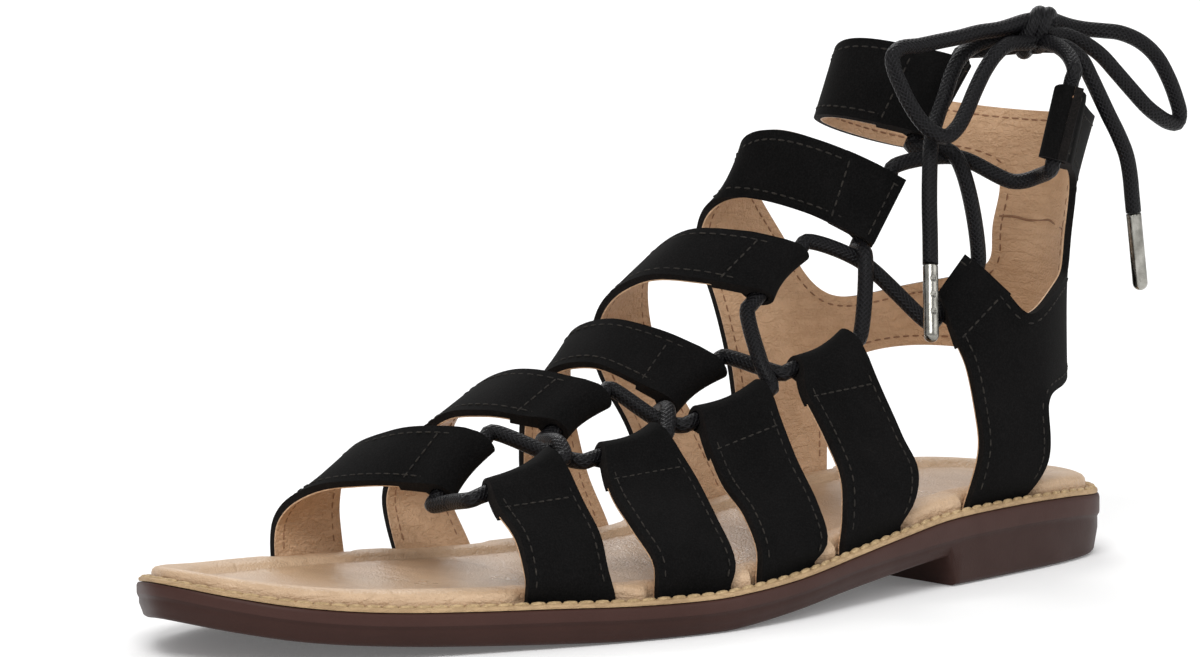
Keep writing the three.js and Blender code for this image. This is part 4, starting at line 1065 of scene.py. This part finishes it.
def strap_section(length, wall, start=0.0, lift=0.0):
    """Corners in (distance, offset), side rows as (corner, corner, finish), and end cells."""
    corners, sides, cells = [], [], []

    def add(s, n):
        corners.append((s, n))
        return len(corners) - 1

    def row(low, high, offset, puffed=False):
        steps = max(1, int(round((high - low) / ROW_SPACING)))
        return [add(s, offset + (puff(s) if puffed else 0))
                for s in np.linspace(low, high, steps + 1)]

    centre_s, centre_n = fold_centre(length, wall)
    stitch_line = length - FOLD_LENGTH
    nose_start = centre_s - FOLD_RADIUS

    def puff(s):
        share = min(max((s - stitch_line) / (length - stitch_line), 0), 1)
        return FOLD_PUFF * math.sin(math.pi * share ** 1.6) ** 2

    plain = stitch_line - start > 1
    top = row(start, stitch_line, wall / 2 + lift) if plain else [add(stitch_line, wall / 2 + lift)]
    base = row(start, stitch_line, -wall / 2) if plain else []
    middle = row(start, stitch_line, LINING_EDGE - wall / 2) if plain else []
    fold_top = [top[-1]] + row(stitch_line, nose_start, wall / 2 + lift, True)[1:]
    fold_base = row(stitch_line, nose_start, -wall / 2 - FOLD_STEP - lift)
    nose = []
    for i in range(NOSE_SIDES + 1):
        angle = -math.pi / 2 + math.pi * i / NOSE_SIDES
        s = centre_s + FOLD_RADIUS * math.cos(angle)
        rise = puff(s) * max(0, math.sin(angle))
        nose.append(add(s, centre_n + (FOLD_RADIUS + lift) * math.sin(angle) + rise))
    hole = []
    for i in range(HOLE_SIDES):
        angle = -math.pi / 2 + 2 * math.pi * i / HOLE_SIDES
        hole.append(add(centre_s + TUNNEL_RADIUS * math.cos(angle),
                        centre_n + TUNNEL_RADIUS * math.sin(angle)))
    for lower, upper in ((fold_base, fold_top), (middle, top), (base, middle)):
        for i in range(len(lower) - 1):
            cells.append([lower[i], lower[i + 1], upper[i + 1], upper[i]])
    lining_cells = len(cells) - max(0, len(base) - 1)
    lined = set(range(lining_cells, len(cells)))
    if plain:
        cells[0] += [middle[-1], base[-1]]
    half = HOLE_SIDES // 2
    for i in range(NOSE_SIDES):
        cells.append([hole[i], nose[i], nose[i + 1], hole[i + 1]])
    top_left, base_left = fold_top[-1], fold_base[-1]
    cells.append([hole[half], nose[-1], top_left])
    cells.append([base_left, nose[0], hole[0]])
    quarter = HOLE_SIDES * 3 // 4
    for i in range(half, quarter):
        cells.append([hole[i], top_left, hole[i + 1]])
    cells.append([hole[quarter], top_left, base_left])
    for i in range(quarter, HOLE_SIDES):
        cells.append([hole[i], base_left, hole[(i + 1) % HOLE_SIDES]])
    loop = base + fold_base + nose + fold_top[::-1] + top[:-1][::-1] + middle[:1]
    inner = set(base)
    for a, b in zip(loop, loop[1:] + loop[:1]):
        sides.append((a, b, INSIDE if a in inner and b in inner else OUTSIDE))
    for a, b in zip(hole[::-1], hole[::-1][1:] + hole[-1:]):
        sides.append((a, b, OUTSIDE))
    return corners, sides, [(cell, i in lined) for i, cell in enumerate(cells)]


def soften_end(ribbon, s, w):
    """Draws the folded end back between its corners, as the lace pulls it."""
    near = max(0, 1 - (ribbon.length - s) / FOLD_LENGTH) ** 2
    return s - FOLD_SAG * near * math.sin(math.pi * w), w + CORNER_DRAW * near * (1 - 2 * w)


def ribbon_solid(ribbon, section, wave=0.0, soft=False):
    corners, sides, cells = section
    count = len(corners)
    points = []
    for k in range(LAYERS + 1):
        w = k / LAYERS
        for s, n in corners:
            ripple = wave * math.sin(s * 0.31 + 2.1 * w) * math.sin(s * 0.12 + 1.3)
            run, share = soften_end(ribbon, s, w) if soft else (s, w)
            points.append(ribbon.point(run, n + ripple * min(1, s / 8), share))
    faces, finishes = [], []
    for k in range(LAYERS):
        for a, b, finish in sides:
            a0, b0 = a + k * count, b + k * count
            faces.append((a0, b0, b0 + count, a0 + count))
            finishes.append(finish)
    for cell, lined in cells:
        faces.append(tuple(cell[::-1]))
        faces.append(tuple(c + LAYERS * count for c in cell))
        finishes += [INSIDE, INSIDE] if lined else [CUT_EDGE, CUT_EDGE]
    return np.array(points), faces, finishes


def foot_point(side, x, rise=0.0):
    seat = SIDE_STEP + WELT_WIDTH + SEAT_GAP + STRAP_WALL / 2
    p = inset_point(outline_at(side, x), seat)
    return np.array([p[0], p[1], sole_top(x) + FIT_GAP + rise])


mouths = {}
black_stitches = Parts()
tan_stitches = Parts()


def record_mouths(name, ribbon, wall):
    s, n = fold_centre(ribbon.length, wall)
    front, rear = ribbon.point(s, n, 0), ribbon.point(s, n, 1)
    axis = unit(rear - front)
    found = []
    for w, direction in ((0, -axis), (1, axis)):
        point = ribbon.point(s, n, w)
        reach = max(
            np.dot(ribbon.point(min(s + i * FOLD_RADIUS, ribbon.length), n + j * FOLD_RADIUS, w)
                   - point, direction)
            for i in (-1, 0, 1) for j in (-1, 0, 1))
        found.append((point + direction * reach, direction))
    mouths[name] = found


def sew(ribbon):
    """Stitch rows beside both edges and across the fold, on the outside and on the lining."""
    width = np.linalg.norm(ribbon.on(ribbon.length / 2, 1) - ribbon.on(ribbon.length / 2, 0))
    margin = EDGE_MARGIN / width
    fold_line = ribbon.length - FOLD_LENGTH + FOLD_STITCH_IN
    last = ribbon.length - FOLD_RADIUS * 2 + 0.5

    def put(parts, s, w, n, along_width):
        here, normal = ribbon.point(s, n, w), ribbon.normal(s, w)
        if along_width:
            ahead = ribbon.point(s, n, min(1, w + 0.05)) - here
        else:
            ahead = ribbon.point(min(ribbon.length, s + 0.5), n, w) - here
        out = normal if n > 0 else -normal
        stitch(parts, here, unit(ahead), out, STITCH_LENGTH, STITCH_WIDTH, STITCH_HEIGHT)
    for w in (margin, 1 - margin):
        for s in np.arange(SEW_START, last, STITCH_PITCH):
            put(black_stitches, s, w, STRAP_WALL / 2, False)
            if s < fold_line - 2:
                put(tan_stitches, s, w, -STRAP_WALL / 2, False)
    for w in np.arange(margin, 1 - margin, STITCH_PITCH / width):
        put(black_stitches, fold_line, w, STRAP_WALL / 2, True)


def add_strap(name):
    (front_x, rear_x), rows = STRAPS[name]
    side = "outer" if name.startswith("lateral") else "inner"
    stations = [x * SOLE_LENGTH / 100 for x in (front_x, rear_x)]
    edges = []
    for index, x in enumerate(stations):
        edge = [foot_point(side, x), foot_point(side, x, FOOT_RISE)]
        edge += [place(row[index * 3:index * 3 + 3]) for row in rows]
        edges.append(edge)
    middle = (edges[0][0][0] + edges[1][0][0]) / 2
    ribbon = Ribbon(*edges, np.array([middle, 0, HEEL_HEIGHT]), standing=True)
    record_mouths(name, ribbon, STRAP_WALL)
    solid = ribbon_solid(ribbon, strap_section(ribbon.length, STRAP_WALL), STRAP_RIPPLE, True)
    piece = add_object(f"{name}_strap", solid[0], solid[1], [suede, lining, suede_edge], solid[2])
    sharpen(piece, 40)
    round_cut_edges(piece)
    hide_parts(name)
    sew(ribbon)


for name in STRAPS:
    add_strap(name)


# Cuff

def cuff_net():
    points, faces, ends = [], [], {}

    def node(point):
        points.append(np.array(point, float))
        return len(points) - 1

    def pair(row):
        return [node(place(row[0])), node(place(row[1]))]

    ankle = [pair(row) for row in ANKLE]
    lower = [pair(row) for row in LOWER]
    for rows in (ankle, lower):
        for a, b in zip(rows, rows[1:]):
            faces.append([a[0], a[1], b[1], b[0]])
    outer, seam, inner = [node(place(p)) for p in STRIP]
    faces.extend([
        [ankle[2][1], outer, seam, ankle[3][1]], [ankle[3][1], seam, inner, ankle[4][1]],
        [outer, lower[2][0], lower[3][0], seam], [seam, lower[3][0], lower[4][0], inner]])

    def add_side(side, join, front, leg, arm, feet):
        def flip(face):
            return face if side == "outer" else face[::-1]
        front_upper, front_lower = pair(front)
        faces.append(flip([front_upper, front_lower, join[1], join[0]]))
        leg_rear, leg_front = pair(leg)
        faces.append(flip([front_lower, leg_front, leg_rear, join[1]]))
        above_rear, above_front = leg_rear, leg_front
        rear_x, front_x = [x * SOLE_LENGTH / 100 for x in feet]
        for rise in (FOOT_RISE, 0):
            foot_rear = node(foot_point(side, rear_x, rise))
            foot_front = node(foot_point(side, front_x, rise))
            faces.append(flip([above_front, foot_front, foot_rear, above_rear]))
            above_rear, above_front = foot_rear, foot_front
        previous = [join[0], front_upper]
        pairs = [previous]
        for row in arm:
            following = pair(row)
            faces.append(flip([following[1], previous[1], previous[0], following[0]]))
            previous = following
            pairs.append(following)
        ends[f"{side}_arm"] = [(b, a) for a, b in pairs[-3:]]

    add_side("outer", lower[0], LATERAL_FRONT, LATERAL_LEG, LATERAL_ARM, CUFF_FEET["lateral"])
    add_side("inner", lower[6], MEDIAL_FRONT, MEDIAL_LEG, MEDIAL_ARM, CUFF_FEET["medial"])
    ends["outer_ankle"] = [(low, upper) for upper, low in ankle[:3][::-1]]
    ends["inner_ankle"] = [(low, upper) for upper, low in ankle[-3:]]
    return np.array(points), faces, ends


def subdivide(points, faces):
    """One round of Catmull-Clark on an open net, with its corners kept."""
    faces = np.asarray(faces)
    count = len(points)
    centres = points[faces].mean(axis=1)
    edges, order = {}, []
    face_edges = np.empty_like(faces)
    for f, face in enumerate(faces):
        for i in range(4):
            key = tuple(sorted((int(face[i]), int(face[(i + 1) % 4]))))
            if key not in edges:
                edges[key] = len(order)
                order.append([key[0], key[1], []])
            order[edges[key]][2].append(f)
            face_edges[f, i] = edges[key]
    ends = np.array([(a, b) for a, b, _ in order])
    middles = points[ends].mean(axis=1)
    open_edge = np.array([len(owners) == 1 for _, _, owners in order])
    inner = np.where(~open_edge)[0]
    owners = np.array([order[e][2] for e in inner])
    fresh = middles.copy()
    fresh[inner] = middles[inner] * 0.5 + centres[owners].mean(axis=1) * 0.5
    valence = np.bincount(faces.ravel(), minlength=count)
    face_mean = np.zeros((count, 3))
    for i in range(4):
        np.add.at(face_mean, faces[:, i], centres)
    edge_mean = np.zeros((count, 3))
    edge_count = np.zeros(count)
    border_sum = np.zeros((count, 3))
    on_border = np.zeros(count, bool)
    for k in (0, 1):
        np.add.at(edge_mean, ends[:, k], middles)
        np.add.at(edge_count, ends[:, k], 1)
        np.add.at(border_sum, ends[open_edge, k], points[ends[open_edge, 1 - k]])
        on_border[ends[open_edge, k]] = True
    moved = points.copy()
    inside = ~on_border
    n = valence[inside][:, None]
    moved[inside] = (points[inside] * (n - 3) + face_mean[inside] / n
                     + 2 * edge_mean[inside] / edge_count[inside][:, None]) / n
    soft = on_border & (valence > 1)
    moved[soft] = (6 * points[soft] + border_sum[soft]) / 8
    new_points = np.vstack([moved, centres, fresh])
    smaller = []
    for f, face in enumerate(faces):
        for i in range(4):
            smaller.append([
                face[i], count + len(faces) + face_edges[f, i], count + f,
                count + len(faces) + face_edges[f, i - 1]])
    return new_points, smaller


def fitted(points, faces, rounds):
    """Net whose rounded surface passes through the given corners, then rounded again."""
    targets, cage = points.copy(), points.copy()
    for _ in range(6):
        surface = subdivide(*subdivide(cage, faces))[0]
        cage = cage + targets - surface[:len(targets)]
    net = (cage, faces)
    for _ in range(rounds):
        net = subdivide(*net)
    return net


def net_normals(points, faces):
    faces = np.asarray(faces)
    a, b, c, d = [points[faces[:, i]] for i in range(4)]
    face_normals = np.cross(c - a, d - b)
    normals = np.zeros_like(points)
    for i in range(4):
        np.add.at(normals, faces[:, i], face_normals)
    normals[points[:, 2] < HEEL_HEIGHT + FOOT_MARGIN, 2] = 0
    return unit(normals)


def border_sides(faces):
    """Sides of the faces that no other face shares, in the faces' own turn."""
    sides = {(int(f[i]), int(f[(i + 1) % 4])): True for f in faces for i in range(4)}
    return [(a, b) for a, b in sides if (b, a) not in sides]


def add_cuff():
    cage, faces, ends = cuff_net()
    points, faces = fitted(cage, faces, 4)
    faces = np.asarray(faces)
    normals = net_normals(points, faces)
    count = len(points)
    outer = points + normals * CUFF_WALL / 2
    inner = points - normals * CUFF_WALL / 2
    quads = [tuple(f) for f in faces] + [tuple(i + count for i in f[::-1]) for f in faces]
    finishes = [OUTSIDE] * len(faces) + [INSIDE] * len(faces)
    borders = border_sides(faces)
    tips = np.array([[cage[i] for i in rows[-1]] for rows in ends.values()])
    tip_points = np.concatenate([
        tips[:, 0] * (1 - share) + tips[:, 1] * share for share in (0, 0.25, 0.5, 0.75, 1)])
    border_points = sorted({a for a, _ in borders})
    middle = {a: 2 * count + k for k, a in enumerate(border_points)}
    lining_line = points[border_points] - normals[border_points] * (CUFF_WALL / 2 - LINING_EDGE)
    for a, b in borders:
        quads += [(b, a, middle[a], middle[b]), (middle[b], middle[a], a + count, b + count)]
        folded = np.min(np.linalg.norm(tip_points - points[a], axis=1)) < FOLD_LENGTH
        finishes += [CUT_EDGE, CUT_EDGE if folded else INSIDE]
    cuff = add_object("cuff_sewn", np.vstack([outer, inner, lining_line]), quads,
                      [suede, lining, suede_edge], finishes)
    sharpen(cuff, 40)
    round_cut_edges(cuff)
    centre = np.array([0.12 * SOLE_LENGTH, 0, HEEL_HEIGHT + 0.6 * UPPER_HEIGHT])
    tools = []
    for name, rows in ends.items():
        ribbon = Ribbon([cage[a] for a, _ in rows], [cage[b] for _, b in rows], centre)
        record_mouths(name, ribbon, CUFF_WALL)
        start = ribbon.length - FOLD_LENGTH
        section = strap_section(ribbon.length, CUFF_WALL, start, FOLD_LIFT)
        fold_points, fold_faces, fold_finishes = ribbon_solid(ribbon, section)
        fold_finishes = [CUT_EDGE if f == CUT_EDGE else OUTSIDE for f in fold_finishes]
        fold = add_object(f"fold_{name}", fold_points, fold_faces, [suede, lining, suede_edge],
                          fold_finishes)
        sharpen(fold, 40)
        s, n = fold_centre(ribbon.length, CUFF_WALL)
        path = [ribbon.point(s, n, w) for w in np.linspace(0, 1, 9)]
        first, last = unit(path[0] - path[1]), unit(path[-1] - path[-2])
        path = [path[0] + first * 8] + path + [path[-1] + last * 8]
        rod = add_object(f"rod_{name}", *tube(path, TUNNEL_RADIUS + 0.5, 24), [suede])
        tools.append((rod, fold))
        sew_fold(ribbon)
    sew_cuff(points, faces, normals)
    join_folds(cuff, tools)
    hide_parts("cuff")
    add_seam(points, normals)


def sew_fold(ribbon):
    sew_line = ribbon.length - FOLD_LENGTH + FOLD_STITCH_IN
    width = np.linalg.norm(ribbon.on(sew_line, 1) - ribbon.on(sew_line, 0))
    margin = EDGE_MARGIN / width
    for w in np.arange(margin, 1 - margin, STITCH_PITCH / width):
        n = CUFF_WALL / 2 + FOLD_LIFT
        here = ribbon.point(sew_line, n, w)
        ahead = ribbon.point(sew_line, n, min(1, w + 0.05)) - here
        stitch(black_stitches, here, unit(ahead), ribbon.normal(sew_line, w),
               STITCH_LENGTH, STITCH_WIDTH, STITCH_HEIGHT)


def join_folds(cuff, tools):
    """Opens the tunnels and joins the folded ends to the cuff."""
    for rod, fold in tools:
        for operation, tool in (("DIFFERENCE", rod), ("UNION", fold)):
            modifier = cuff.modifiers.new(operation.lower(), "BOOLEAN")
            modifier.operation = operation
            modifier.object = tool
            modifier.solver = "EXACT"
    bpy.context.view_layer.update()
    depsgraph = bpy.context.evaluated_depsgraph_get()
    joined = bpy.data.meshes.new_from_object(cuff.evaluated_get(depsgraph))
    cuff.modifiers.clear()
    cuff.data = joined
    for pair in tools:
        for tool in pair:
            bpy.data.objects.remove(tool)


def sew_cuff(points, faces, normals):
    """Stitches along the cuff's whole border, a little inside it, on both faces."""
    border = dict(border_sides(faces))
    todo = set(border)
    while todo:
        start = todo.pop()
        loop, here = [start], border[start]
        while here != start:
            loop.append(here)
            todo.discard(here)
            here = border[here]
        path = points[loop + loop[:1]]
        facing = normals[loop + loop[:1]]
        run = np.concatenate([[0], np.cumsum(np.linalg.norm(np.diff(path, axis=0), axis=1))])
        for stop in np.arange(0, run[-1], STITCH_PITCH):
            here = np.array([np.interp(stop, run, path[:, k]) for k in range(3)])
            ahead = np.array([np.interp((stop + 1) % run[-1], run, path[:, k]) for k in range(3)])
            back = np.array([np.interp((stop - 1) % run[-1], run, path[:, k]) for k in range(3)])
            out = unit(np.array([np.interp(stop, run, facing[:, k]) for k in range(3)]))
            turn = np.dot(unit(ahead - here), unit(here - back))
            if here[2] < HEEL_HEIGHT + 5 or turn < 0.9:
                continue
            along = unit(ahead - back)
            inward = unit(np.cross(out, along))
            spot = here + inward * EDGE_MARGIN
            nearest = np.argmin(np.linalg.norm(points - spot, axis=1))
            offset = np.dot(points[nearest] - spot, normals[nearest])
            spot = spot + normals[nearest] * offset
            stitch(black_stitches, spot + normals[nearest] * CUFF_WALL / 2, along,
                   normals[nearest], STITCH_LENGTH, STITCH_WIDTH, STITCH_HEIGHT)
            stitch(tan_stitches, spot - normals[nearest] * CUFF_WALL / 2, along,
                   -normals[nearest], STITCH_LENGTH, STITCH_WIDTH, LINING_STITCH_HEIGHT)


def add_seam(points, normals):
    """The seam across the lining of the heel strip, where two turned edges meet, drawn as one thin
    wavy tube of thread.
    """
    height = HEEL_HEIGHT + STRIP[1][2] * UPPER_HEIGHT / 100 + SEAM_RISE
    near = np.abs(points[:, 2] - height) < 1.5
    back = points[:, 0] < 0.1 * SOLE_LENGTH
    chosen = np.where(near & back)[0]
    order = chosen[np.argsort(points[chosen, 1])]
    lows, highs = points[order[0], 1] + 1.5, points[order[-1], 1] - 1.5
    path = []
    for y in np.linspace(lows, highs, 26):
        k = order[np.argsort(np.abs(points[order, 1] - y))[:4]]
        spot = points[k].mean(axis=0) - unit(normals[k].mean(axis=0)) * (CUFF_WALL / 2 + 0.1)
        wave = SEAM_WAVE * math.sin(y * 0.5)
        path.append([spot[0], y, height + wave])
    piece = add_object("lining_seam", *tube(Curve(path[::3]).even(1.0), SEAM_RADIUS, 8),
                       [tan_thread])


add_cuff()
for parts, name, finish in (
        (black_stitches, "outer_stitches", black_thread),
        (tan_stitches, "lining_stitches", tan_thread)):
    parts.build(name, [finish])


# Lace through the tunnels

PAIRS = [("lateral_1", "medial_1"), ("lateral_2", "medial_2"), ("lateral_3", "medial_3"),
         ("lateral_4", "medial_4"), ("outer_arm", "inner_arm"), ("outer_ankle", "inner_ankle")]


def leaving(mouth, distance):
    point, direction = mouth
    return point + direction * distance


def crossing_points(i):
    """The points over and under each other where the halves cross above pair i."""
    low, high = PAIRS[i], PAIRS[i + 1]
    outer_low, inner_low = [leaving(mouths[name][1], LACE_EXIT) for name in low]
    outer_high, inner_high = [leaving(mouths[name][0], LACE_EXIT) for name in high]
    rise = unit(np.cross(inner_high - outer_low, outer_high - inner_low))
    rise = rise if rise[2] > 0 else -rise
    spot = np.array(CROSSINGS[i], float)
    return spot + rise * LACE_LIFT, spot - rise * LACE_LIFT


def lace_half(start, lead):
    """The lace from the toe bar through one tunnel of every pair, to the knot."""
    side = start
    first = mouths[PAIRS[0][side]][0]
    other = mouths[PAIRS[0][1 - side]][0]
    middle = (leaving(first, LACE_EXIT) + leaving(other, LACE_EXIT)) / 2
    path = [middle, leaving(first, LACE_EXIT), leaving(first, FIT_GAP)]
    for i, pair in enumerate(PAIRS):
        rear = mouths[pair[side]][1]
        path += [leaving(rear, FIT_GAP), leaving(rear, LACE_EXIT)]
        if i + 1 < len(PAIRS):
            over, under = crossing_points(i)
            path.append(over if side == 0 else under)
            side = 1 - side
            name = PAIRS[i + 1][side]
            front = mouths[name][0]
            if name == "outer_ankle":
                path += [np.array(point, float) for point in ANKLE_SAG]
            path += [leaving(front, LACE_EXIT), leaving(front, FIT_GAP)]
    return path + [np.array(point, float) for point in lead] + [KNOT_CENTRE - 3 * UP]


crosses = [f"lace_cross_{i}" for i in range(1, 6)]
# Six pairs of tunnels: each half changes side five times and ends on the other side
lateral_half, _ = lace_piece("lace_half_lateral", lace_half(1, LEADS["lateral"]))
medial_half, _ = lace_piece("lace_half_medial", lace_half(0, LEADS["medial"]))
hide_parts("lace_toe_bar", *crosses, "lace_lead_lateral")
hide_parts("lace_toe_bar", *crosses, "lace_lead_medial")


# Floor and light

SOFT_LIGHT = 0.55
FLOOR_SIZE = 6
LIGHTS = [
    # name, place in metres, side of the square, watts
    ("key", (1.2, 0.9, 1.6), 1.0, 22),
    ("fill", (-1.0, 1.6, 0.9), 1.4, 8),
    ("back", (-0.6, -1.4, 1.3), 1.2, 14),
]
LIGHT_TARGET = (0.09, 0, 0.05)


def add_floor():
    mesh = bpy.data.meshes.new("floor")
    corners = [(x * FLOOR_SIZE, y * FLOOR_SIZE, 0) for x, y in ((-1, -1), (1, -1), (1, 1), (-1, 1))]
    mesh.from_pydata(corners, [], [(0, 1, 2, 3)])
    floor = bpy.data.objects.new("floor", mesh)
    bpy.context.scene.collection.objects.link(floor)
    floor.location.z = -0.0002
    material = bpy.data.materials.new("floor_white")
    material.use_nodes = True
    shader = material.node_tree.nodes["Principled BSDF"]
    shader.inputs["Base Color"].default_value = (0.96, 0.96, 0.96, 1)
    shader.inputs["Emission Color"].default_value = (1, 1, 1, 1)
    shader.inputs["Emission Strength"].default_value = 0.12
    shader.inputs["Roughness"].default_value = 0.9
    mesh.materials.append(material)


def add_light(name, location, size, power):
    data = bpy.data.lights.new(name, "AREA")
    data.size = size
    data.energy = power
    light = bpy.data.objects.new(name, data)
    bpy.context.scene.collection.objects.link(light)
    light.location = location
    aim = Vector(location) - Vector(LIGHT_TARGET)
    light.rotation_euler = aim.to_track_quat("Z", "Y").to_euler()


def add_studio():
    world = bpy.data.worlds.new("studio")
    bpy.context.scene.world = world
    world.use_nodes = True
    tree = world.node_tree
    soft = tree.nodes["Background"]
    soft.inputs["Color"].default_value = (1, 1, 1, 1)
    soft.inputs["Strength"].default_value = SOFT_LIGHT
    backdrop = add_node(tree, "ShaderNodeBackground", [("Color", (1, 1, 1, 1)), ("Strength", 1.0)])
    seen = add_node(tree, "ShaderNodeLightPath").outputs["Is Camera Ray"]
    both = add_node(tree, "ShaderNodeMixShader", [
        (0, seen), (1, soft.outputs[0]), (2, backdrop.outputs[0])])
    tree.links.new(both.outputs[0], tree.nodes["World Output"].inputs["Surface"])
    for name, location, size, power in LIGHTS:
        add_light(name, location, size, power)
    bpy.context.scene.view_settings.view_transform = "Standard"


add_floor()
add_studio()
